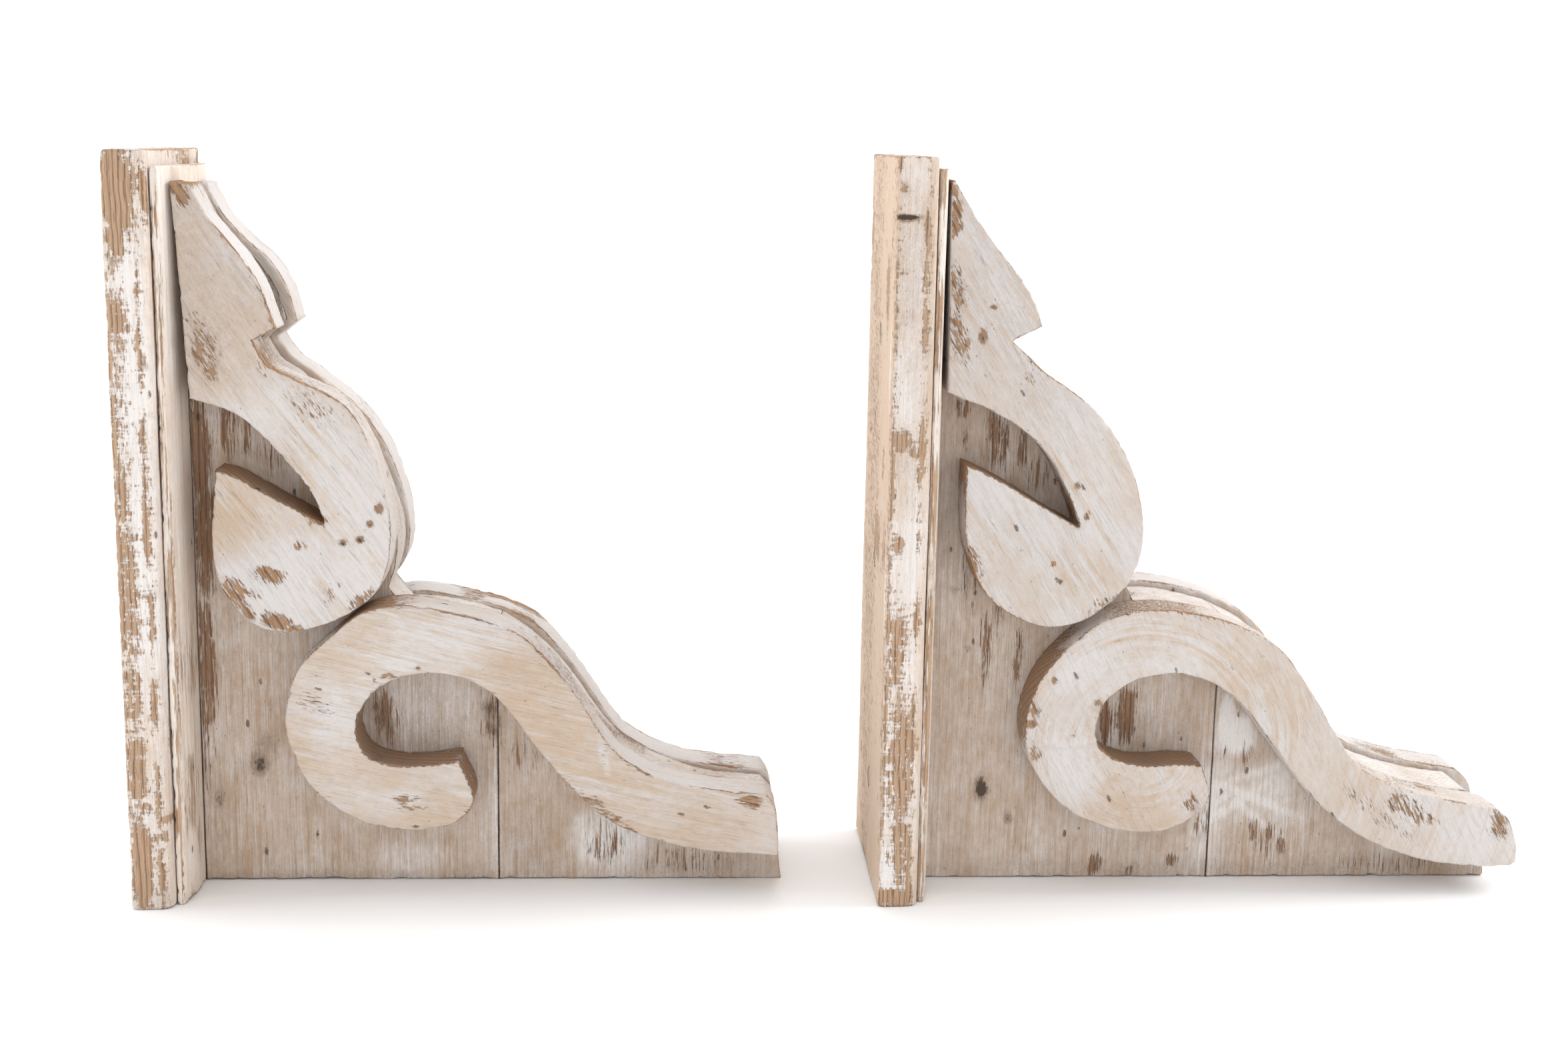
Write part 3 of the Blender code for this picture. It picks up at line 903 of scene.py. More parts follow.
@dataclass
class Board:
    """One sawn board, re-cut around its CAD node with worn edges and a grain."""

    node: str
    body: str
    finish: Whitewash
    lie: Lie
    seed: int
    grain_angle: float = 90.0
    strokes: Strokes = Strokes()
    low_step: float = 1.8
    high_step: float = 1.8
    edge_radius: float = 0.8
    edge_wear: float = 0.75
    chalk: float = 0.3
    sawn_chalk: float = 0.75
    bare: float = 0.02
    scuffed: float = 1.2
    worn_ends: float = 0.0
    grime: float = 0.15
    worn_marks: tuple[Mark, ...] = ()
    chalk_marks: tuple[Mark, ...] = ()
    # Marks of real dirt and dark spots, and also of painted shade on shaded walls and tops.
    grime_and_shade_marks: tuple[Mark, ...] = ()
    dents: tuple[Mark, ...] = ()
    groove_depth: float = 0.22
    ragged: float = 1.0
    joint: float = NO_JOINT
    # Painted shade in the crack where a scroll meets the web, with some real dirt there.
    seam_grime_and_shade: float = 0.0
    holes: list[Hole] = field(default_factory=list)

    def __post_init__(self) -> None:
        """Read the board's box and where its book end stands."""
        low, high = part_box(self.node)
        self.low = np.array(low) / MM
        self.high = np.array(high) / MM
        self.side = self.node.split("_")[0]
        self.foot = np.array((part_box(f"{self.side}_back_plank")[0].x / MM, 0.0, 0.0))
        self.moulding_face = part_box(f"{self.side}_face_moulding")[1].x / MM

    def high_drop(self, plane: Points) -> Points:
        """How far the high face falls below its highest level, besides the worn edge."""
        return np.zeros(len(plane))

    def outline(self) -> Points:
        """Draw the board's outline, with hand-sawn waviness cut into it.

        Returns:
            The closed outline.
        """
        loop = redrawn(flat_loops(self.node, self.lie)[0], min(self.low_step, self.high_step) * 0.8)
        places = np.c_[loop, np.zeros(len(loop))]
        cut = 0.16 + 0.16 * rough(places, (9, 9, 9), self.seed)
        cut += 0.1 * rough(places, (2.4, 2.4, 2.4), self.seed + 1)
        cut *= self.ragged * self.beyond_joint(loop[:, 0])
        return loop + inward(loop) * np.clip(cut, 0.0, DEEPEST_CUT)[:, None]

    def beyond_joint(self, across: Points) -> Points:
        """Fades from 0 at a butt joint to 1 a few millimetres away from it.

        Args:
            across: Places along X, in millimetres.

        Returns:
            How far each place is beyond the web's joint and the moulding's face.
        """
        fade = ease_between(0.4, 3.0, np.abs(across - self.foot[0] - self.joint))
        if self.lie is Lie.ACROSS_Y:
            fade *= ease_between(0.2, 2.2, across - self.moulding_face)
        return fade

    def seam(self, places: Points) -> Points:
        """Fades from 1 where the scrolls meet the web to 0 about a millimetre away.

        Args:
            places: Rows of three coordinates.

        Returns:
            How close each place is to a seam.
        """
        low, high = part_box(f"{self.side}_web_rear_board")
        away = np.minimum(np.abs(places[:, 1] - low.y / MM), np.abs(places[:, 1] - high.y / MM))
        return np.exp(-away / 0.7)

    def edge_round(self, loop: Points, side: int) -> Points:
        """The radius that wear has given the outline's edge on one side.

        Args:
            loop: The board's outline.
            side: -1 for the low face or 1 for the high one.

        Returns:
            A radius for each point of the outline.
        """
        places = np.c_[loop, np.full(len(loop), 50.0 * side)]
        uneven = rough(places, (14, 14, 14), self.seed + 5)
        chips = np.clip(rough(places, (3.2, 3.2, 3.2), self.seed + 6) - 0.35, 0, 1)
        radius = np.clip(self.edge_radius * (1 + 0.5 * uneven) + 1.6 * chips, 0.25, None)
        if self.lie is Lie.ACROSS_Y:
            radius *= 0.25 + 0.75 * self.beyond_joint(loop[:, 0])
        return radius

    def face(self, loop: Points, holes: list[Points], step: float, side: int) -> dict[str, Points]:
        """One broad face of the board.

        Args:
            loop: The board's outline.
            holes: Loops of the holes in this face.
            step: How fine its mesh is.
            side: -1 for the low face or 1 for the high one.

        Returns:
            Its points in the plane, its triangles, how far each point lies below the face's
            highest level, and how far it is from the edge.
        """
        plane, triangles = filled(loop, holes, scattered(loop, step, self.seed + 11 * side))
        away, at = nearest(plane, loop)
        radius = self.edge_round(loop, side)[at]
        away[: len(loop)] = 0
        gap = np.clip(radius - away, 0, None)
        drop = radius - np.sqrt(np.clip(radius**2 - gap**2, 0, None))
        if side > 0:
            drop = drop + self.high_drop(plane)
        return {"plane": plane, "triangles": triangles, "drop": drop, "away": away}

    def solid(self) -> dict[str, Points]:
        """The whole board before relief.

        Returns:
            Its places, triangles and quads, how far each point is from an edge, and wall: 1 on
            the sawn edges, 0.5 on their rims and 0 on the broad faces.
        """
        loop = self.outline()
        first, second, depth = self.lie.value
        bottom, top = self.low[depth], self.high[depth]
        count = len(loop)
        hole_loops = [self.ring(hole.centre, hole.steps[0][1]) for hole in self.holes]
        low = self.face(loop, hole_loops, self.low_step, -1)
        high = self.face(loop, [], self.high_step, 1)
        low_level = bottom + low["drop"]
        high_level = top - high["drop"]
        rows = max(3, round((top - bottom) / WALL_ROW))
        shares = np.arange(1, rows) / rows
        rims = low_level[:count] + shares[:, None] * (high_level[:count] - low_level[:count])
        planes = [low["plane"], high["plane"], np.tile(loop, (rows - 1, 1))]
        levels = [low_level, high_level, rims.ravel()]
        sunk = np.minimum(shares, 1 - shares)[:, None] * (high_level[:count] - low_level[:count])
        aways = [low["away"], high["away"], sunk.ravel()]
        start_high = len(low["plane"])
        start_wall = start_high + len(high["plane"])
        rings = [np.arange(count)]
        rings += [start_wall + row * count + np.arange(count) for row in range(rows - 1)]
        rings.append(start_high + np.arange(count))
        quads = [np.stack((a, np.roll(a, -1), np.roll(b, -1), b), 1) for a, b in zip(rings, rings[1:])]
        triangles = [low["triangles"][:, ::-1], high["triangles"] + start_high]
        next_point = start_wall + (rows - 1) * count
        start = count
        for hole, ring in zip(self.holes, hole_loops):
            before = start + np.arange(len(ring))
            start += len(ring)
            for down, radius in hole.steps[1:]:
                planes.append(self.ring(hole.centre, radius))
                levels.append(np.full(len(ring), bottom + down))
                aways.append(np.full(len(ring), FAR_FROM_EDGE))
                after = next_point + np.arange(len(ring))
                next_point += len(ring)
                quads.append(np.stack((before, np.roll(before, -1), np.roll(after, -1), after), 1))
                before = after
            planes.append(np.array([hole.centre]))
            levels.append(np.array([bottom + hole.steps[-1][0]]))
            aways.append(np.array([FAR_FROM_EDGE]))
            triangles.append(np.stack((before, np.roll(before, -1), np.full(len(ring), next_point)), 1))
            next_point += 1
        plane, level = np.vstack(planes), np.concatenate(levels)
        places = np.empty((len(plane), 3))
        places[:, first], places[:, second], places[:, depth] = plane[:, 0], plane[:, 1], level
        wall = np.zeros(len(places))
        wall[start_wall : start_wall + (rows - 1) * count] = 1
        wall[:count] = wall[start_high : start_high + count] = 0.5
        faces = {"triangles": np.vstack(triangles), "quads": np.vstack(quads)}
        if self.lie is Lie.ACROSS_Y:
            faces = {kind: rows_of[:, ::-1] for kind, rows_of in faces.items()}
        return {"places": places, "away": np.concatenate(aways), "wall": wall, **faces}

    @staticmethod
    def ring(centre: Pair, radius: float, sides: int = 24) -> Points:
        """A circle of points in the outline's plane, as rows of two coordinates."""
        angles = np.arange(sides) / sides * math.tau
        return np.stack((centre[0] + radius * np.cos(angles), centre[1] + radius * np.sin(angles)), 1)

    def relief(self, shape: dict[str, Points], worn: Points) -> Points:
        """How far age has sunk each point below the sawn surface.

        Args:
            shape: The board from solid(), with its grain and stroke coordinates.
            worn: How bare of paint each point is.

        Returns:
            A depth for each point.
        """
        places, grain, stroke = shape["places"], shape["grain_place"], shape["stroke_place"]
        seed = self.seed
        swells = 0.10 + 0.10 * rough(places, (34, 34, 34), seed + 20)
        grooves = self.groove_depth * np.clip(rough(grain, (2.6, 2.6, 70), seed + 21), -0.4, 1)
        brushed = 0.07 * rough(stroke, (2.2, 2.2, 46), seed + 22)
        knocks = 1.1 * np.clip(rough(places, (6, 6, 6), seed + 23) - 0.55, 0, 1)
        nicks = 1.5 * np.clip(rough(places, (2.8, 2.8, 2.8), seed + 24) - 0.18, 0, 1)
        nicks *= np.exp(-shape["away"] / 1.3)
        torn = np.clip(worn, 0, 1) * (0.18 + 0.16 * rough(grain, (3, 3, 16), seed + 25))
        depth = swells + grooves + brushed + knocks + nicks + torn
        in_joint = np.maximum(self.beyond_joint(places[:, 0]), 0.1)
        return np.clip(depth, 0, DEEPEST_RELIEF) * in_joint

    def build(self, material: bpy.types.Material) -> bpy.types.Object:
        """Make the board's mesh and object, ride it on its body and dress it.

        Args:
            material: The finish's material.

        Returns:
            The new object.
        """
        shape = self.solid()
        places = shape["places"]
        first, second, depth = self.lie.value
        plane, through = places[:, [first, second]], places[:, depth]
        shift = self.seed * 37.0
        shape["grain_place"] = Strokes(self.grain_angle).lay(plane, through) + shift
        shape["stroke_place"] = self.strokes.lay(plane, through) + shift * 0.7
        normals = point_normals(places, shape["triangles"], shape["quads"])
        values = self.wear(shape, places - self.foot, normals)
        sunk = self.relief(shape, values["bare"])
        for dent in self.dents:
            sunk += dent.cover(places - self.foot, normals)
        places = np.clip(places - normals * sunk[:, None], self.low, self.high)
        name = f"{self.node}_whitewashed"
        mesh = make_mesh(name, places, shape["triangles"], shape["quads"])
        for kind in ("grain_place", "stroke_place"):
            attribute = mesh.attributes.new(kind, "FLOAT_VECTOR", "POINT")
            attribute.data.foreach_set("vector", shape[kind].astype(np.float32).ravel())
        for kind, value in values.items():
            attribute = mesh.attributes.new(kind, "FLOAT", "POINT")
            attribute.data.foreach_set("value", value.astype(np.float32))
        mesh.materials.append(material)
        return seated(bpy.data.objects.new(name, mesh), self.body, self.finish.slot, self.node)

    def wear(self, shape: dict[str, Points], local: Points, normals: Points) -> dict[str, Points]:
        """What the finish reads at each point: bare wood, chalky paint, and grime with painted shade.

        Args:
            shape: The board from solid(), with its grain and stroke coordinates.
            local: Places in the book end's own frame.
            normals: The surface normals.

        Returns:
            The three values by attribute name.
        """
        places, wall = shape["places"], shape["wall"]
        sawn_edge = wall > 0.4
        rim = np.exp(-shape["away"] / 1.1) + 0.4 * np.exp(-shape["away"] / 2.0) * sawn_edge
        rim *= self.beyond_joint(places[:, 0])
        long_wear = rough(places, (16, 16, 16), self.seed + 30)
        bare = self.bare + self.edge_wear * rim * np.clip(0.5 + 0.75 * long_wear, 0, 1.2)
        bare += 0.12 * rough(places, (30, 30, 30), self.seed + 31)
        away_from_near_side = np.clip(1 + 1.6 * normals[:, 1], 0, 1)
        scuffs = np.clip(rough(places, (21, 21, 34), self.seed + 33) - 0.18, 0, 1)
        bare += self.scuffed * away_from_near_side * scuffs
        bare += self.worn_ends * np.abs(normals[:, 2]) * sawn_edge
        chalk = self.chalk + wall * (self.sawn_chalk - self.chalk)
        grime = self.grime + 0.08 * rough(places, (24, 24, 24), self.seed + 32)
        patchy = np.clip(0.9 + 0.8 * long_wear, 0, 1.6)
        # Painted shade along the seam between scroll and web, with some real dirt; it goes near-black in
        # the material.
        grime += self.seam_grime_and_shade * self.seam(places) * sawn_edge * patchy
        for mark in self.worn_marks:
            bare = np.maximum(bare, mark.cover(local, normals))
        for mark in self.chalk_marks:
            cover = mark.cover(local, normals)
            chalk = chalk + cover
            grime = grime - 0.35 * np.clip(cover, 0, 1)
        # These marks darken with real dirt and dark spots, and also with painted shade on slot and curl
        # walls and on the upper scrolls' tops.
        for mark in self.grime_and_shade_marks:
            grime = grime + mark.cover(local, normals)
        return {"bare": bare, "chalk": chalk, "grime": grime}


@dataclass
class Plank(Board):
    """The back plank, with both long front edges rounded over and screw holes behind."""

    round_over: float = 4.6

    def high_drop(self, plane: Points) -> Points:
        """The rounded long edges of the plank's front.

        Args:
            plane: Points in the outline's plane.

        Returns:
            How far the front falls at each.
        """
        side = np.minimum(plane[:, 0] - self.low[1], self.high[1] - plane[:, 0])
        gap = np.clip(self.round_over - side, 0, self.round_over * 0.985)
        return self.round_over - np.sqrt(self.round_over**2 - gap**2)


@dataclass
class Moulding(Board):
    """The thin moulding on the plank's front, curved down to a thin edge on each side."""

    thin_edge: float = 2.6
    slope: float = 16.0

    def high_drop(self, plane: Points) -> Points:
        """The slopes from the moulding's flat middle to its side edges.

        Args:
            plane: Points in the outline's plane.

        Returns:
            How far the front falls at each.
        """
        side = np.minimum(plane[:, 0] - self.low[1], self.high[1] - plane[:, 0])
        share = np.clip(side / self.slope, 0, 1)
        crown = self.high[0] - self.low[0] - self.thin_edge
        return crown * (1 - np.sin(share * math.pi / 2))


def point_normals(places: Points, triangles: Points, quads: Points) -> Points:
    """Unit normals at the points of a mesh of triangles and quads.

    Args:
        places: The mesh's points.
        triangles: Rows of three indices.
        quads: Rows of four indices.

    Returns:
        One unit vector for each point.
    """
    corners = np.vstack([triangles, quads[:, [0, 1, 2]], quads[:, [0, 2, 3]]])
    a, b, c = (places[corners[:, i]] for i in range(3))
    crosses = np.cross(b - a, c - a)
    normals = np.zeros_like(places)
    for i in range(3):
        np.add.at(normals, corners[:, i], crosses)
    return normals / np.maximum(np.linalg.norm(normals, axis=1, keepdims=True), 1e-12)


def make_mesh(name: str, places: Points, triangles: Points, quads: Points) -> bpy.types.Mesh:
    """A smooth mesh in metres from places in millimetres.

    Args:
        name: The mesh's name.
        places: Its points.
        triangles: Rows of three indices.
        quads: Rows of four indices.

    Returns:
        The new mesh.
    """
    mesh = bpy.data.meshes.new(name)
    corners = np.concatenate([triangles.ravel(), quads.ravel()])
    sizes = np.concatenate([np.full(len(triangles), 3), np.full(len(quads), 4)])
    mesh.vertices.add(len(places))
    mesh.vertices.foreach_set("co", (places * MM).astype(np.float32).ravel())
    mesh.loops.add(len(corners))
    mesh.loops.foreach_set("vertex_index", corners.astype(np.int32))
    mesh.polygons.add(len(sizes))
    starts = np.concatenate([[0], np.cumsum(sizes)[:-1]])
    mesh.polygons.foreach_set("loop_start", starts.astype(np.int32))
    mesh.update(calc_edges=True)
    mesh.validate()
    mesh.shade_smooth()
    return mesh


def seated(piece: bpy.types.Object, body: str, slot: str, *nodes: str) -> bpy.types.Object:
    """Link a piece, ride it on its body, and hide the CAD nodes that it stands for.

    Args:
        piece: The new object.
        body: The body that it rides on.
        slot: The record's material slot; not used.
        *nodes: The CAD nodes that it stands for.

    Returns:
        The same object.
    """
    bpy.context.scene.collection.objects.link(piece)
    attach(piece, body)
    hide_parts(*nodes)
    return piece


@dataclass
class Turning:
    """A turned or rolled fastener along one axis, shared by all of its kind."""

    name: str
    sides: int
    stations: tuple[Pair, ...]
    step: float
    shape: Callable[[Points, Points, Points], Points]

    def mesh(self, material: bpy.types.Material) -> bpy.types.Mesh:
        """The fastener's mesh, its head at the origin and its length along +X.

        Args:
            material: Its finish.

        Returns:
            The new mesh.
        """
        along = [self.stations[0][0]]
        radius = [self.stations[0][1]]
        for (a, r), (b, s) in zip(self.stations, self.stations[1:]):
            count = max(1, round(math.hypot(b - a, s - r) / self.step))
            along += [a + (b - a) * i / count for i in range(1, count + 1)]
            radius += [r + (s - r) * i / count for i in range(1, count + 1)]
        turn = np.arange(self.sides) / self.sides * math.tau
        along_grid, turn_grid = np.meshgrid(np.array(along), turn, indexing="ij")
        radius_grid = np.repeat(np.array(radius)[:, None], self.sides, axis=1)
        radius_grid = self.shape(along_grid, turn_grid, radius_grid)
        places = np.stack(
            (along_grid, radius_grid * np.cos(turn_grid), radius_grid * np.sin(turn_grid)), axis=-1
        ).reshape(-1, 3)
        ends = np.array([[along[0], 0, 0], [along[-1], 0, 0]])
        rings = np.arange(len(along) * self.sides).reshape(-1, self.sides)
        bands = [
            np.stack((ring, after, np.roll(after, -1), np.roll(ring, -1)), 1)[:, ::-1]
            for ring, after in zip(rings, rings[1:])
        ]
        quads = np.vstack(bands)
        first, last = len(places), len(places) + 1
        caps = np.vstack(
            [
                np.stack((np.roll(rings[0], -1), rings[0], np.full(self.sides, first)), 1),
                np.stack((rings[-1], np.roll(rings[-1], -1), np.full(self.sides, last)), 1),
            ]
        )
        places = np.vstack([places, ends])
        mesh = make_mesh(self.name, places, caps, quads)
        attribute = mesh.attributes.new("grain_place", "FLOAT_VECTOR", "POINT")
        attribute.data.foreach_set("vector", places[:, [1, 2, 0]].astype(np.float32).ravel())
        mesh.set_sharp_from_angle(angle=math.radians(40))
        mesh.materials.append(material)
        return mesh


class Kind(Enum):
    """A kind of fastener: its word in a node's name, how it is worked, and its finish's slot."""

    SCREW = ("screw", "threaded", "zinc_screw")
    DOWEL = ("dowel", "fluted", "beech_dowel")
    BRAD = ("brad", "drawn", "bright_brad")


@dataclass
class Fasteners:
    """The screws, dowels and brads of one book end."""

    side: str
    body: str
    meshes: dict[Kind, bpy.types.Mesh]

    def build(self) -> list[bpy.types.Object]:
        """Put each fastener in its hole.

        Returns:
            The new objects.
        """
        made = []
        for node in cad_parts:
            kind = next((kind for kind in Kind if f"_{kind.value[0]}_" in node), None)
            if kind is None or not node.startswith(self.side):
                continue
            _, worked, slot = kind.value
            low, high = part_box(node)
            middle = (low + high) / 2
            turn = Euler((0, 0, 0))
            head = Vector((low.x, middle.y, middle.z))
            if kind is Kind.BRAD:
                outside = 1 if middle.y > 0 else -1
                head = Vector((middle.x, high.y if outside > 0 else low.y, middle.z))
                turn = Euler((0, 0, -outside * math.pi / 2))
            piece = bpy.data.objects.new(f"{node}_{worked}", self.meshes[kind])
            piece.matrix_world = Matrix.LocRotScale(head, turn, None)
            made.append(seated(piece, self.body, slot, node))
        return made


def threaded(along: Points, turn: Points, radius: Points) -> Points:
    """Cut a coarse wood thread below the screw's head and smooth shank.

    Args:
        along: Distance from the head.
        turn: Angle round the axis.
        radius: The radius before cutting.

    Returns:
        The new radius.
    """
    pitch, depth, shank_end = 2.2, 0.26, 12.0
    phase = (along / pitch - turn / math.tau) % 1
    ridge = np.clip(1 - np.abs(phase - 0.5) * 5, 0, 1)
    cut = ease_between(shank_end, shank_end + 1.5, along)
    return radius * (1 - depth * cut * (1 - ridge))


def fluted(along: Points, turn: Points, radius: Points) -> Points:
    """Cut straight glue flutes round a dowel, but not in its chamfers.

    Args:
        along: Distance from the end.
        turn: Angle round the axis.
        radius: The radius before cutting.

    Returns:
        The new radius.
    """
    flutes, depth = 20, 0.22
    return radius - depth * (0.5 + 0.5 * np.cos(turn * flutes)) ** 2 * (radius > 3.5)


def drawn(along: Points, turn: Points, radius: Points) -> Points:
    """Roll grip rings under a headless brad's top.

    Args:
        along: Distance from the top.
        turn: Angle round the axis.
        radius: The radius before rolling.

    Returns:
        The new radius.
    """
    rings = np.abs(np.sin(along * 2.6)) * ease_between(1.0, 1.6, along) * (1 - ease_between(5, 6, along))
    return radius * (1 - 0.07 * rings)


@dataclass(frozen=True)
class Lamp:
    """A soft square light: its name, its place and side in metres, and its power in watts."""

    name: str
    place: tuple[float, float, float]
    size: float
    power: float


@dataclass(frozen=True)
class Studio:
    """The pale floor, the soft lights and the camera, in metres."""

    floor_half: float = 6.0
    floor_colour: Colour = (0.935, 0.935, 0.94)
    surround: float = 1.08
    surround_seen: float = 1.48
    aim: tuple[float, float, float] = (0, 0, 0.12)
    lamps: tuple[Lamp, ...] = (
        Lamp("key", (1.3, 0.15, 1.1), 0.7, 10.0),
        Lamp("top", (0.2, 0.5, 1.8), 1.2, 7.0),
        Lamp("side", (-1.4, 0.1, 0.7), 0.9, 8.0),
    )
    camera_place: tuple[float, float, float] = (-0.0708, -0.7757, 0.2900)
    camera_yaw: float = 0.0611
    camera_pitch: float = 0.1890
    camera_roll: float = 0.0188
    lens: float = 46.47

    def build(self) -> None:
        """Make everything that is not part of the object."""
        self.lay_floor()
        self.light()
        self.set_camera()

    def lay_floor(self) -> None:
        """Lay the pale floor."""
        half = self.floor_half
        mesh = bpy.data.meshes.new("floor")
        corners = [(-half, -half, 0), (half, -half, 0), (half, half, 0), (-half, half, 0)]
        mesh.from_pydata(corners, [], [(0, 1, 2, 3)])
        material, bench, shader = Finish("studio_floor", "").start()
        bench.feed(shader.inputs["Base Color"], self.floor_colour)
        bench.feed(shader.inputs["Roughness"], 0.75)
        bench.feed(shader.inputs["Specular IOR Level"], 0.2)
        mesh.materials.append(material)
        floor = bpy.data.objects.new("floor", mesh)
        bpy.context.scene.collection.objects.link(floor)

    def light(self) -> None:
        """Light the scene from all round, and from each lamp."""
        world = bpy.data.worlds.new("studio")
        world.use_nodes = True
        bench = Bench(world.node_tree)
        background = world.node_tree.nodes["Background"]
        seen = bench.add("LightPath").outputs["Is Camera Ray"]
        extra = self.surround_seen - self.surround
        bench.feed(background.inputs["Color"], (1, 1, 1))
        strength = bench.math("MULTIPLY_ADD", seen, extra, self.surround)
        bench.feed(background.inputs["Strength"], strength)
        bpy.context.scene.world = world
        bpy.context.scene.view_settings.view_transform = "Standard"
        for lamp in self.lamps:
            source = bpy.data.lights.new(lamp.name, "AREA")
            source.size = lamp.size
            source.energy = lamp.power
            light = bpy.data.objects.new(lamp.name, source)
            light.location = lamp.place
            towards = Vector(self.aim) - Vector(lamp.place)
            light.rotation_euler = towards.to_track_quat("-Z", "Y").to_euler()
            bpy.context.scene.collection.objects.link(light)

    def set_camera(self) -> None:
        """Set the camera up in front of the book ends."""
        camera = bpy.data.objects.new("camera", bpy.data.cameras.new("camera"))
        camera.data.lens = self.lens
        camera.data.sensor_width = 36.0
        turn = Matrix.Rotation(-self.camera_yaw, 4, "Z")
        turn = turn @ Matrix.Rotation(math.pi / 2 - self.camera_pitch, 4, "X")
        turn = turn @ Matrix.Rotation(self.camera_roll, 4, "Z")
        camera.matrix_world = Matrix.Translation(self.camera_place) @ turn
        bpy.context.scene.collection.objects.link(camera)
        bpy.context.scene.camera = camera


PLANK_FINISH = Whitewash(
    name="whitewashed_plank",
    slot="whitewashed_plank",
    chalk=(0.82, 0.775, 0.745),
    wash=(0.72, 0.565, 0.435),
    stain_and_shade=(0.34, 0.24, 0.17),
    wood_light=(0.58, 0.395, 0.26),
    wood_dark=(0.21, 0.12, 0.07),
    flake_width=1.8,
    flake_length=4.0,
    cross_scratches=0.45,
    ring_pitch=1.7,
    stroke_width=2.2,
    see_through=0.25,
    line_shows=0.10,
)
MOULDING_FINISH = Whitewash(
    name="whitewashed_moulding",
    slot="whitewashed_moulding",
    chalk=(0.88, 0.81, 0.75),
    wash=(0.80, 0.66, 0.53),
    stain_and_shade=(0.36, 0.27, 0.20),
    wood_light=(0.60, 0.41, 0.27),
    wood_dark=(0.32, 0.19, 0.11),
    flake_width=1.4,
    flake_length=18.0,
    cross_scratches=0.0,
    ring_pitch=2.6,
    stroke_width=2.6,
    see_through=0.2,
    line_shows=0.16,
)
WEB_FINISH = Whitewash(
    name="whitewashed_web",
    slot="whitewashed_web",
    chalk=(0.80, 0.76, 0.73),
    wash=(0.55, 0.415, 0.305),
    stain_and_shade=(0.22, 0.155, 0.115),
    wood_light=(0.36, 0.21, 0.125),
    wood_dark=(0.14, 0.075, 0.043),
    flake_width=0.6,
    flake_length=13.0,
    cross_scratches=0.0,
    ring_pitch=2.3,
    stroke_width=1.7,
    see_through=0.10,
    line_shows=0.15,
    streaks=1.15,
)
SCROLL_FINISH = Whitewash(
    name="whitewashed_scroll",
    slot="whitewashed_scroll",
    chalk=(0.665, 0.63, 0.615),
    wash=(0.60, 0.475, 0.365),
    stain_and_shade=(0.27, 0.19, 0.14),
    wood_light=(0.46, 0.28, 0.155),
    wood_dark=(0.15, 0.08, 0.048),
    flake_width=0.8,
    flake_length=4.2,
    cross_scratches=0.0,
    ring_pitch=3.4,
    stroke_width=2.4,
    see_through=0.10,
    line_shows=0.05,
    streaks=1.75,
)
DOWEL_FINISH = PlainWood("beech_dowel", "beech_dowel", (0.62, 0.42, 0.25), (0.42, 0.26, 0.14), 1.6)
SCREW_FINISH = Steel("zinc_screw", "zinc_screw", (0.66, 0.62, 0.52), (0.34, 0.30, 0.24), 0.32)
BRAD_FINISH = Steel("bright_brad", "bright_brad", (0.55, 0.55, 0.55), (0.25, 0.23, 0.21), 0.38)


def near(*size: float) -> Mark:
    """A mark on a face towards -Y: across, up, half width, half height, strength, lean."""
    return Mark(Zone.NEAR, *size)


def front(*size: float) -> Mark:
    """A mark on a face towards +X: along Y, up, half width, half height, strength, lean."""
    return Mark(Zone.FRONT, *size)


def back(*size: float) -> Mark:
    """A mark on a face towards -X: along Y, up, half width, half height, strength, lean."""
    return Mark(Zone.BACK, *size)


def sawn(*size: float) -> Mark:
    """A mark on a sawn edge: across, up, half width, half height, strength, lean."""
    return Mark(Zone.SAWN, *size)


@dataclass
class Back:
    """The back plank and its moulding."""

    side: str
    plank: dict
    moulding: dict
    screw_hole: tuple[Pair, ...] = ((0.0, 4.3), (0.6, 4.3), (3.0, 2.3), (4.5, 2.3))

    def boards(self) -> list[Board]:
        """Set out the plank, with a hole behind each screw, and the moulding.

        Returns:
            Both boards, ready to build.
        """
        body = f"{self.side}_book_end"
        screws = [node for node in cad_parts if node.startswith(f"{self.side}_screw_")]
        heights = sorted(sum(corner.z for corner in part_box(screw)) / 2 / MM for screw in screws)
        holes = [Hole((0.0, round(height, 1)), self.screw_hole) for height in heights]
        plank = Plank(
            f"{self.side}_back_plank", body, PLANK_FINISH, Lie.ACROSS_X, holes=holes, **self.plank
        )
        moulding = Moulding(
            f"{self.side}_face_moulding", body, MOULDING_FINISH, Lie.ACROSS_X, **self.moulding
        )
        return [plank, moulding]


@dataclass
class Web:
    """The two boards of the upright web, joined edge to edge."""

    side: str
    dress: dict
    seed: int
    edge_radius: float = 0.4
    ragged: float = 0.6

    def boards(self) -> list[Board]:
        """Set out the rear and the front board, dressed alike across their joint.

        Returns:
            Both boards, ready to build.
        """
        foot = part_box(f"{self.side}_back_plank")[0].x
        joint = round((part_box(f"{self.side}_web_front_board")[0].x - foot) / MM, 2)
        return [
            Board(
                f"{self.side}_web_{part}_board",
                f"{self.side}_book_end",
                WEB_FINISH,
                Lie.ACROSS_Y,
                seed=self.seed + number,
                edge_radius=self.edge_radius,
                ragged=self.ragged,
                joint=joint,
                edge_wear=0.55,
                seam_grime_and_shade=2.6,
                low_step=1.5,
                **self.dress,
            )
            for number, part in enumerate(("rear", "front"))
        ]


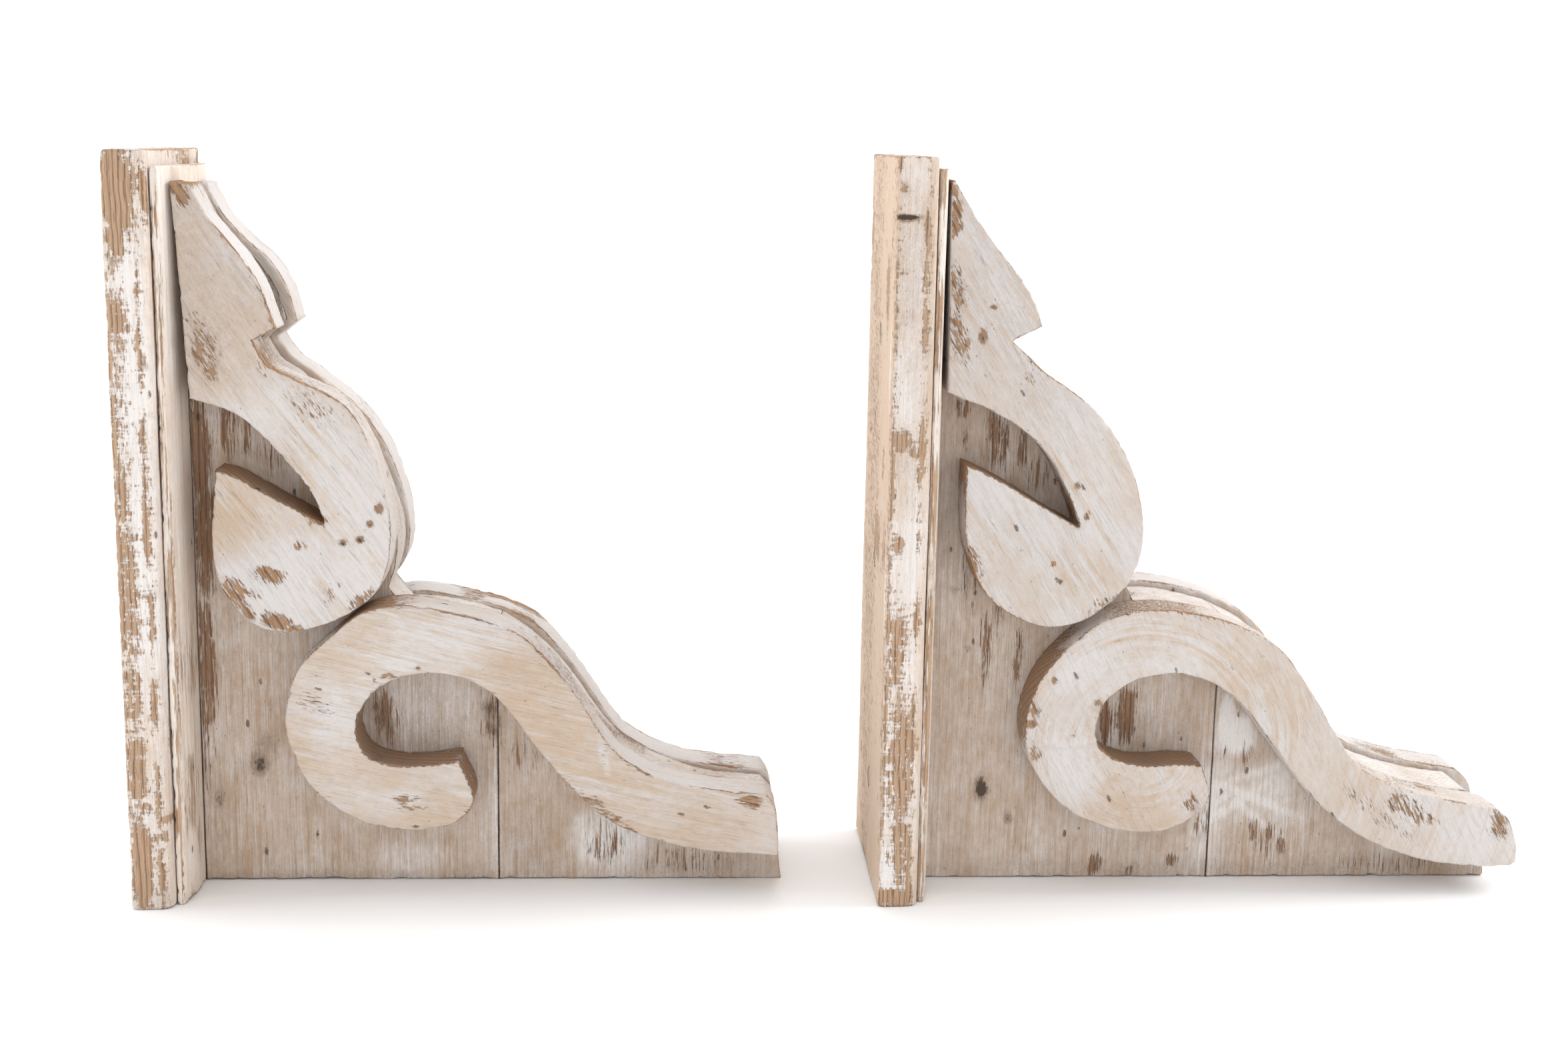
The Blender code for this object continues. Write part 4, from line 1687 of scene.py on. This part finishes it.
@dataclass
class Scrolls:
    """The four cut-out scrolls on both sides of the web."""

    side: str
    upper: dict
    lower: dict
    seed: int
    near_step: float = 1.35
    far_step: float = 1.9

    def boards(self) -> list[Board]:
        """Set out each near scroll with its own marks, and each far one with scuffs only.

        Returns:
            The four scrolls, ready to build.
        """
        made = []
        for number, (part, dress) in enumerate((("upper", self.upper), ("lower", self.lower))):
            plain = {key: dress[key] for key in ("grain_angle", "strokes", "chalk")}
            plain["sawn_chalk"] = 1.05
            for where, look in (("near", dress), ("far", plain)):
                fine = where == "near"
                made.append(
                    Board(
                        f"{self.side}_{part}_scroll_{where}",
                        f"{self.side}_book_end",
                        SCROLL_FINISH,
                        Lie.ACROSS_Y,
                        seed=self.seed + 2 * number + (not fine),
                        low_step=self.near_step if fine else 2.6,
                        high_step=2.6 if fine else self.far_step,
                        groove_depth=0.14,
                        edge_wear=0.62,
                        seam_grime_and_shade=2.6,
                        **look,
                    )
                )
        return made


@dataclass
class BookEnd:
    """One book end: its back, web, scrolls and fasteners."""

    back: Back
    web: Web
    scrolls: Scrolls
    fasteners: Fasteners

    def build(self, materials: dict[str, bpy.types.Material]) -> None:
        """Build every piece and report it.

        Args:
            materials: The materials by name.
        """
        for assembly in (self.back, self.web, self.scrolls):
            for board in assembly.boards():
                piece = board.build(materials[board.finish.name])
                log.info("%s: %d points", piece.name, len(piece.data.vertices))
        for piece in self.fasteners.build():
            log.info("%s", piece.name)


def left_book_end(fastener_meshes: dict[Kind, bpy.types.Mesh]) -> BookEnd:
    """The left book end, with the wear it has on each board.

    Args:
        fastener_meshes: The shared meshes by kind.

    Returns:
        The book end, ready to build.
    """
    plank = {
        "seed": 11,
        "chalk": 0.62,
        "low_step": 3.2,
        "high_step": 1.7,
        "worn_ends": 0.3,
        "worn_marks": (
            near(5.2, 268, 5.2, 18, 1.0),
            near(4.6, 247, 4.0, 9, 0.6),
            near(4.0, 221, 3.6, 10, 0.74),
            near(1.3, 185, 1.0, 18, 0.8),
            near(3.4, 158, 2.8, 12, 0.66),
            near(4.0, 122, 4.2, 30, 0.66),
            near(4.2, 84, 3.8, 14, 0.62),
            near(4.8, 54.3, 4.0, 18, 0.70),
            near(4.4, 18.9, 3.8, 22, 0.86),
            near(3.5, 150, 4.0, 130, 0.42),
            near(15.5, 265.7, 1.6, 8.5, 1.0),
            front(-43, 265.7, 2.5, 9, 0.9),
            near(15.3, 35.3, 4.9, 1.6, 0.85),
            front(-42, 35.3, 5.0, 1.6, 0.85),
            near(14.2, 28.4, 3.5, 1.6, 0.8),
            front(45, 268, 9, 16, 1.0),
        ),
        "chalk_marks": (
            near(10, 170, 5, 70, 0.35),
            near(9, 236, 4, 7, 0.4),
            back(0, 140, 60, 400, -0.42),
        ),
        "grime_and_shade_marks": (
            near(13, 205, 1.2, 1.2, 1.6),
            near(15, 187, 1, 1.2, 1.4),
            # Darker along the foot.
            near(5, 4, 12, 4, 0.5),
            back(-12, 150, 24, 160, 0.3),
        ),
    }
    moulding = {
        "seed": 12,
        "chalk": 0.62,
        "grime": 0.03,
        "edge_radius": 0.4,
        "ragged": 0.4,
        "low_step": 3.4,
        "high_step": 1.7,
        "worn_marks": (
            near(18.3, 145, 1.4, 140, 0.45),
            near(18.7, 22.5, 0.9, 17, 0.95),
            front(-38.5, 100, 1.5, 60, 0.6),
        ),
        "chalk_marks": (front(-36, 250, 6, 30, 0.5), near(17, 240, 3, 40, 0.4)),
        "grime_and_shade_marks": (front(-25, 215, 2.2, 55, 0.6), front(-22, 60, 1.6, 50, 0.45)),
    }
    web = {
        "chalk": 0.32,
        "grime": 0.3,
        "worn_marks": (
            near(24, 166.5, 4.2, 24.6, 0.76),
            near(25.4, 138.6, 4.2, 26.9, 0.76),
            near(23.9, 87.5, 3.5, 29.1, 0.68),
            near(23, 55, 1.9, 26.9, 0.44),
            near(35, 178, 3.5, 14.6, 0.58),
            near(42, 176, 2.6, 10.1, 0.50),
            near(50, 168, 4.8, 9.0, 0.42),
            near(91.2, 66.5, 5.1, 13.3, 0.56),
            near(132.3, 65.6, 4.2, 11.3, 0.54),
            near(146, 52, 10, 9, 0.36),
            near(176.3, 15.0, 7.0, 9.0, 0.50),
            sawn(48, 240, 20, 34, 0.42, 33),
            sawn(60, 215, 14, 12, 0.42),
            near(206, 8, 20, 6, 0.36),
        ),
        "chalk_marks": (
            near(176.3, 15.0, 10.5, 11.0, 0.85),
            near(112, 72, 16, 16, 0.35),
            near(100, 8, 12, 7, 0.3),
            near(60, 96, 22, 20, 0.12),
            near(133.6, 24, 1.0, 24, 0.5),
        ),
        "grime_and_shade_marks": (
            near(42.9, 47.3, 2.7, 3.6, 1.75),
            near(45.9, 56.0, 4.0, 4.0, 0.6),
            near(27.1, 32.6, 1.0, 3.3, 1.5),
            near(131.0, 70.0, 2.2, 2.0, 1.7),
            near(133.0, 60.6, 2.0, 2.6, 1.5),
            near(60, 60, 30, 40, 0.12),
            near(112, 64, 18, 16, 0.4),
            near(146, 15, 9, 12, 0.35),
            # Darker along the foot.
            near(215, 4, 40, 5, 0.35),
            near(80, 1, 60, 2.5, 0.6),
            sawn(252, 10, 5, 18, 0.6),
            sawn(50, 240, 26, 30, 1.7, 33),
            sawn(75, 208, 14, 12, 0.7),
            sawn(108, 165, 12, 34, 1.2),
        ),
    }
    upper = {
        "grain_angle": -58.0,
        "strokes": Strokes(-52.0),
        "chalk": 0.56,
        "worn_marks": (
            near(23.2, 267.8, 1.8, 2.2, 1.0),
            near(26, 264.7, 2.7, 3.1, 0.74),
            near(31.8, 212.3, 5.4, 13.0, 0.46, 20),
            near(29.6, 208.6, 3.7, 6.7, 0.54, 20),
            near(33.5, 201.5, 2.9, 4.5, 0.57, 20),
            near(52.0, 203.3, 2.1, 5.1, 0.42, 20),
            near(69.1, 189.5, 10.4, 5.9, 0.38, -30),
            near(57.3, 220.5, 1.6, 1.2, 0.7),
            near(93.3, 151.8, 1.3, 1.7, 0.9),
            near(89.9, 145.9, 1.2, 1.2, 1.1),
            near(85.9, 140.0, 1.3, 1.3, 1.1),
            near(79.7, 138.9, 1.2, 1.1, 1.1),
            near(63.9, 137.9, 3.1, 2.0, 0.52),
            near(46.2, 119.2, 4.0, 2.0, 0.54),
            near(52.4, 126.5, 5.6, 3.1, 0.71, -10),
            near(38.9, 119.7, 6.0, 5.2, 0.63, -40),
            near(43, 113.5, 2.9, 6.3, 0.63, 35),
            near(54.6, 109, 6.0, 3.1, 0.73, -12),
            near(61, 105.6, 3.4, 1.8, 0.70),
            near(84.3, 116, 4.3, 2.8, 0.57, 30),
            near(89.1, 119.4, 2.9, 1.8, 0.61, 30),
            near(74.0, 118.2, 2.4, 4.2, 0.5),
            sawn(52, 158, 26, 8, 1.05, -28),
            sawn(60, 231, 5, 5, 0.6),
            sawn(24, 272, 8, 5, 0.8),
            sawn(96, 196, 18, 16, 0.45),
            near(70.9, 146.9, 3.8, 2.5, 0.61),
        ),
        "chalk_marks": (
            near(86, 150, 12, 26, 0.35),
            near(60, 120, 26, 14, 0.4),
            near(50, 188, 14, 10, 0.3),
            near(40, 255, 10, 20, 0.15),
            near(38, 150, 10, 13, -0.45),
            near(36, 236, 14, 22, -0.3),
            sawn(60, 262, 30, 30, 0.35),
            sawn(110, 170, 12, 40, 0.2),
        ),
        "grime_and_shade_marks": (
            near(79.7, 138.9, 1.2, 1.2, 2.6),
            near(89.9, 145.9, 1.0, 1.0, 2.3),
            near(85.9, 140.0, 1.1, 1.1, 2.5),
            near(93.3, 151.8, 1.0, 1.3, 1.8),
            near(232.8, 38.5, 3, 2, 0.8),
            near(31, 212, 6, 15, 0.25),
            # Painted shade: the upper scroll darker towards its top.
            near(36, 245, 24, 34, 0.38),
            near(40, 140, 14, 14, 0.15),
            # Painted shade on the slot's shadowed lower wall.
            sawn(52, 158, 24, 7, 1.1),
        ),
        "dents": (near(36, 222, 1.1, 1.1, 0.3), near(84, 142, 1.1, 1.1, 0.3)),
    }
    lower = {
        "grain_angle": -12.0,
        "strokes": Strokes(-14.0),
        "chalk": 0.34,
        "worn_marks": (
            near(68.6, 76.9, 8.0, 4.0, 0.36, -30),
            near(100.9, 39.5, 5.6, 1.8, 0.5),
            near(104, 36, 5.6, 1.1, 0.57),
            near(90.5, 85.6, 1.2, 1.2, 0.75),
            near(96.2, 87.9, 3.2, 1.7, 0.55),
            near(107.0, 91.0, 1.2, 0.8, 0.8),
            near(232.8, 38.5, 5.2, 2.5, 0.68),
            near(176.3, 55.4, 1.0, 4.2, 0.35),
            sawn(103, 47, 24, 11, 1.1),
            sawn(87, 62, 6, 16, 0.85),
            sawn(124, 38, 6, 10, 0.9),
            sawn(85, 112, 16, 8, 0.8),
            sawn(170, 92, 26, 20, 0.45, -45),
            sawn(250, 30, 8, 18, 0.45),
            near(247, 25, 3, 12, 0.38),
            near(175, 34, 22, 3.5, 0.5, -38),
        ),
        "chalk_marks": (
            near(112.2, 98.0, 17, 9.0, 0.5),
            near(88, 84, 14, 8, 0.3, 30),
            near(74, 60, 8, 20, 0.3),
            near(176.3, 55.4, 1.2, 5.0, 0.6, 12),
            near(92, 40, 14, 6, 0.25),
            near(175, 66, 20, 6, 0.12, -35),
            near(150, 92, 14, 8, -0.2, -30),
            near(240, 30, 14, 14, 0.12),
            near(100.9, 40.5, 5.8, 3.0, 0.4),
            sawn(225, 50, 50, 12, 0.25),
        ),
        "grime_and_shade_marks": (
            # Painted shade on the curl's shadowed inner walls.
            sawn(103, 47, 22, 10, 1.0),
            sawn(87, 62, 6, 14, 0.9),
            sawn(84, 110, 14, 8, 0.6),
            near(150, 88, 18, 8, 0.10),
        ),
        "dents": (
            near(106, 38, 1.1, 1.1, 0.3),
            near(142, 90, 1.1, 1.1, 0.3),
            near(214, 30, 1.1, 1.1, 0.3),
        ),
    }
    return BookEnd(
        Back("left", plank, moulding),
        Web("left", web, 13),
        Scrolls("left", upper, lower, 16),
        Fasteners("left", "left_book_end", fastener_meshes),
    )


def right_book_end(fastener_meshes: dict[Kind, bpy.types.Mesh]) -> BookEnd:
    """The right book end, whiter and worn in other places.

    Args:
        fastener_meshes: The shared meshes by kind.

    Returns:
        The book end, ready to build.
    """
    plank = {
        "seed": 31,
        "chalk": 0.36,
        "low_step": 1.7,
        "high_step": 1.8,
        "worn_ends": 0.3,
        "worn_marks": (
            near(2.4, 272.5, 2.2, 1.6, 0.6, 40),
            near(6.0, 270.0, 1.2, 1.6, 0.5, 40),
            near(3.9, 261.7, 4.2, 1.2, 0.9),
            near(4.2, 242.5, 3.3, 1.6, 0.46),
            near(3.8, 180.9, 4.6, 4.6, 0.8),
            near(8.8, 176.0, 1.3, 2.2, 0.9),
            near(3.8, 142.0, 2.2, 3.3, 0.9),
            near(4.6, 100.7, 4.4, 20, 0.62),
            near(7.0, 55, 4.8, 34, 0.68),
            near(8.6, 26.0, 3.4, 16, 0.72),
            near(5.7, 3.6, 8.0, 3.4, 0.9),
            near(1.0, 140, 1.2, 130, 0.45),
            back(18, 140, 24, 200, 0.40),
            back(-42, 140, 3, 160, 0.42),
        ),
        "chalk_marks": (
            near(3.7, 14.6, 4.0, 7.2, 0.6),
            near(7, 215, 6, 30, 0.15),
            back(0, 140, 60, 400, -0.5),
            back(-40, 120, 3, 12, 0.9),
            back(-36, 205, 2, 16, 0.8),
        ),
        "grime_and_shade_marks": (
            near(3.9, 261.7, 3.9, 0.7, 3.2),
            near(2.4, 272.5, 2.4, 2.2, 0.5),
            near(6, 164, 6, 14, 0.22),
            near(4, 245, 10, 24, 0.5),
            near(5, 200, 10, 34, 0.32),
            back(18, 140, 22, 150, 0.4),
        ),
        "dents": (near(3.9, 261.7, 4.2, 0.8, 0.9),),
    }
    moulding = {
        "seed": 32,
        "chalk": 0.55,
        "edge_radius": 0.4,
        "ragged": 0.4,
        "low_step": 3.4,
        "high_step": 1.7,
        "worn_marks": (
            near(18.4, 70, 1.6, 52, 0.82),
            near(18.2, 200, 1.2, 70, 0.25),
            front(-38.5, 80, 1.5, 60, 0.6),
        ),
        "chalk_marks": (front(-36, 230, 8, 50, 0.5), near(17, 220, 3, 60, 0.4)),
        "grime_and_shade_marks": (near(18, 132, 1.5, 4, 1.2), front(-30, 120, 2.0, 60, 0.4)),
    }
    web = {
        "chalk": 0.35,
        "grime": 0.28,
        "worn_marks": (
            near(43.6, 96.4, 2.6, 15.7, 0.58),
            near(56.2, 89.8, 2.1, 14.6, 0.50),
            near(48, 108, 3.2, 11.2, 0.42),
            near(37, 125, 4.8, 13.4, 0.42),
            near(92, 63.9, 2.4, 11.2, 0.76),
            near(100.2, 66, 4.2, 12.3, 0.76),
            near(90.3, 5.1, 3.2, 4.7, 0.72),
            near(104.6, 3.2, 1.6, 2.7, 0.64),
            near(121.3, 6.9, 2.4, 2.7, 0.64),
            near(30.6, 189.5, 2.9, 4.0, 0.56),
            near(32.6, 176.2, 1.3, 6.6, 0.48),
            near(43.4, 178.3, 3.5, 11.0, 0.59),
            near(47.6, 176, 2.1, 11.0, 0.56),
            near(54.5, 172.9, 3.2, 8.3, 0.51),
            near(62, 164, 5.1, 7.8, 0.44),
            near(154.3, 20, 2.2, 5.6, 0.58),
            near(166.3, 12.7, 1.9, 5.0, 0.60),
            near(160.0, 15.0, 6.0, 7.0, 0.46),
            near(133.1, 23.9, 4.0, 7.4, 0.42),
            near(149.6, 50.8, 3.2, 4.9, 0.44),
            near(141, 53, 1.9, 3.4, 0.42),
            near(214, 5, 24, 5, 0.36),
        ),
        "chalk_marks": (
            near(140.6, 68.5, 2.2, 5.5, 1.4),
            near(144.8, 59.5, 6.2, 5.6, 1.5),
            near(148, 42, 16, 1.5, 0.35, 18),
            near(152, 34, 16, 1.5, 0.35, -24),
            near(142, 28, 14, 1.4, 0.35, 34),
            near(156, 24, 13, 1.4, 0.35, -38),
            near(136, 20, 5.0, 20, 0.4),
            near(160, 34, 14, 10, 0.3),
            near(94, 55, 6, 14, 0.5),
            near(134, 36, 8, 12, 0.3),
            near(47, 176, 3, 11, 0.3),
        ),
        "grime_and_shade_marks": (
            near(43.7, 37.5, 2.2, 4.4, 2.2),
            near(54.6, 25.1, 1.5, 2.2, 1.7),
            near(30.0, 118, 1.0, 1.2, 1.5),
            near(36.0, 94, 0.9, 1.2, 1.4),
            # Darker along the foot.
            near(90, 3, 60, 4, 0.4),
            near(205, 3, 50, 5, 0.35),
            near(113, 60, 14, 12, 0.35),
        ),
    }
    upper = {
        "grain_angle": -62.0,
        "strokes": Strokes(-56.0),
        "chalk": 0.72,
        "worn_marks": (
            near(22.0, 271.4, 1.4, 2.2, 0.9),
            near(22.5, 264, 2.9, 4.0, 0.70),
            near(22.7, 257.6, 2.7, 3.8, 0.68),
            near(24.4, 236, 3.1, 10.4, 0.54, 12),
            near(25.8, 217.7, 3.8, 10.0, 0.59, 12),
            near(38.4, 229.2, 1.3, 1.0, 1.0),
            near(34.5, 218.3, 1.5, 3.0, 0.95),
            near(53.0, 203.0, 2.4, 3.0, 0.5),
            near(72.6, 162.6, 0.9, 1.3, 0.9),
            near(67.6, 125.6, 1.1, 1.1, 0.8),
            near(64.6, 132.5, 1.1, 1.1, 0.8),
            near(76.6, 151.3, 1.4, 1.9, 0.7),
            near(84.0, 115.9, 8.8, 3.9, 0.46, 30),
            near(33.6, 134.4, 2.9, 7.7, 0.57, 25),
            near(50, 246, 2.0, 22, 0.40, 33),
            sawn(50, 160, 27, 10, 1.05, -30),
            sawn(24, 276, 8, 6, 0.9),
            sawn(45, 252, 16, 20, 0.5, 33),
            sawn(38, 124, 12, 16, 0.8),
            sawn(112, 150, 12, 30, 0.3),
        ),
        "chalk_marks": (
            near(92, 160, 14, 30, 0.1),
            near(45, 150, 12, 14, 0.1),
            near(75, 125, 14, 10, -0.25),
            near(100, 170, 8, 18, -0.25),
            near(34, 205, 8, 14, -0.2),
        ),
        "grime_and_shade_marks": (
            near(34.5, 218.3, 1.1, 2.4, 1.8),
            near(38.4, 229.2, 0.8, 0.7, 1.6),
            near(72.6, 162.6, 0.7, 1.0, 1.8),
            # Painted shade: the upper scroll darker towards its top.
            near(45, 230, 20, 40, 0.18),
            near(60, 130, 26, 20, 0.12),
            # Painted shade on the slot's shadowed lower wall.
            sawn(50, 160, 26, 8, 1.1),
        ),
        "dents": (near(36, 224, 1.1, 1.1, 0.3), near(84, 142, 1.1, 1.1, 0.3)),
    }
    lower = {
        "grain_angle": -62.0,
        "strokes": Strokes(centre=(115.0, 60.0)),
        "chalk": 0.58,
        "worn_marks": (
            near(59.1, 69.7, 2.0, 1.3, 1.0),
            near(66.8, 86.9, 1.1, 1.4, 1.0),
            near(75.5, 64.6, 0.9, 0.8, 1.0),
            near(60.7, 57.8, 2.3, 4.2, 0.55, 15),
            near(60.0, 74.5, 1.6, 4.6, 0.6),
            near(104, 84, 8, 1.5, 0.5),
            near(84.5, 78.0, 1.6, 1.6, 0.7),
            near(122.9, 37.7, 2.9, 3.8, 0.54),
            near(204, 38, 4.5, 5.0, 0.54, -35),
            near(210.3, 35.0, 8.8, 4.6, 0.50, -30),
            near(216, 31, 5, 3.0, 0.55),
            near(247, 29.5, 4.5, 6.7, 0.57),
            sawn(105, 47, 25, 11, 1.1),
            sawn(88, 60, 6, 16, 0.7),
            sawn(64, 82, 12, 22, 0.85),
            sawn(105, 116, 26, 8, 0.55),
            sawn(160, 104, 26, 16, 0.35),
            sawn(225, 52, 40, 12, 0.5),
            near(196, 34, 18, 3, 0.4, -38),
        ),
        "chalk_marks": (
            near(74.8, 54.2, 7.5, 11.4, 0.5, 18),
            near(76.6, 91.6, 9.0, 5.5, 0.45, 35),
            near(110, 96, 20, 8, 0.25),
            near(100, 34, 14, 8, -0.35),
            near(150, 82, 20, 8, -0.3, -35),
            near(210.3, 37.0, 9.8, 6.6, 0.35),
            near(240, 24, 20, 14, 0.4),
        ),
        "grime_and_shade_marks": (
            near(59.1, 69.7, 1.4, 0.9, 1.5),
            near(66.8, 86.9, 0.8, 1.0, 1.5),
            near(75.5, 64.6, 0.6, 0.6, 1.7),
            near(84.0, 77.0, 2.0, 2.4, 0.7),
            near(125.0, 33.5, 2.0, 4.0, 0.9),
            # Painted shade on the curl's shadowed inner walls.
            sawn(105, 47, 23, 10, 1.0),
            sawn(64, 82, 12, 22, 0.8),
        ),
        "dents": (
            near(106, 38, 1.1, 1.1, 0.3),
            near(142, 92, 1.1, 1.1, 0.3),
            near(216, 27, 1.1, 1.1, 0.3),
        ),
    }
    return BookEnd(
        Back("right", plank, moulding),
        Web("right", web, 33),
        Scrolls("right", upper, lower, 36),
        Fasteners("right", "right_book_end", fastener_meshes),
    )


def make_fastener_meshes(materials: dict[str, bpy.types.Material]) -> dict[Kind, bpy.types.Mesh]:
    """The meshes that every screw, dowel and brad shares.

    Args:
        materials: The materials by name.

    Returns:
        The meshes by kind.
    """
    recess = ((1.6, 0.0), (1.6, 1.2), (0.0, 1.5))
    head = ((0.0, 3.7), (0.25, 3.95), (2.6, 2.0))
    shank = ((12.0, 1.9), (38.5, 1.9), (41.9, 0.2))
    screw = Turning("wood_screw", 24, recess + head + shank, 0.3, threaded)
    dowel = Turning(
        "fluted_dowel",
        60,
        ((0.0, 0.0), (0.0, 3.1), (0.9, 3.95), (47.1, 3.95), (48.0, 3.1), (48.0, 0.0)),
        0.9,
        fluted,
    )
    brad = Turning(
        "finishing_brad",
        16,
        ((0.0, 0.0), (0.0, 0.6), (0.12, 0.75), (28.6, 0.75), (31.0, 0.12)),
        0.35,
        drawn,
    )
    return {
        Kind.SCREW: screw.mesh(materials[SCREW_FINISH.name]),
        Kind.DOWEL: dowel.mesh(materials[DOWEL_FINISH.name]),
        Kind.BRAD: brad.mesh(materials[BRAD_FINISH.name]),
    }


def main() -> None:
    """Build both book ends and the studio, piece by piece."""
    effects = Effects()
    painted = (PLANK_FINISH, MOULDING_FINISH, WEB_FINISH, SCROLL_FINISH)
    fastened = (DOWEL_FINISH, SCREW_FINISH, BRAD_FINISH)
    materials = {finish.name: finish.material(effects) for finish in painted + fastened}
    meshes = make_fastener_meshes(materials)
    left_book_end(meshes).build(materials)
    right_book_end(meshes).build(materials)
    studio = Studio()
    studio.build()
    log.info("studio: floor, %d lamps and camera", len(studio.lamps))


if __name__ == "__main__":
    logging.basicConfig(level=logging.INFO, format="%(message)s")
    main()
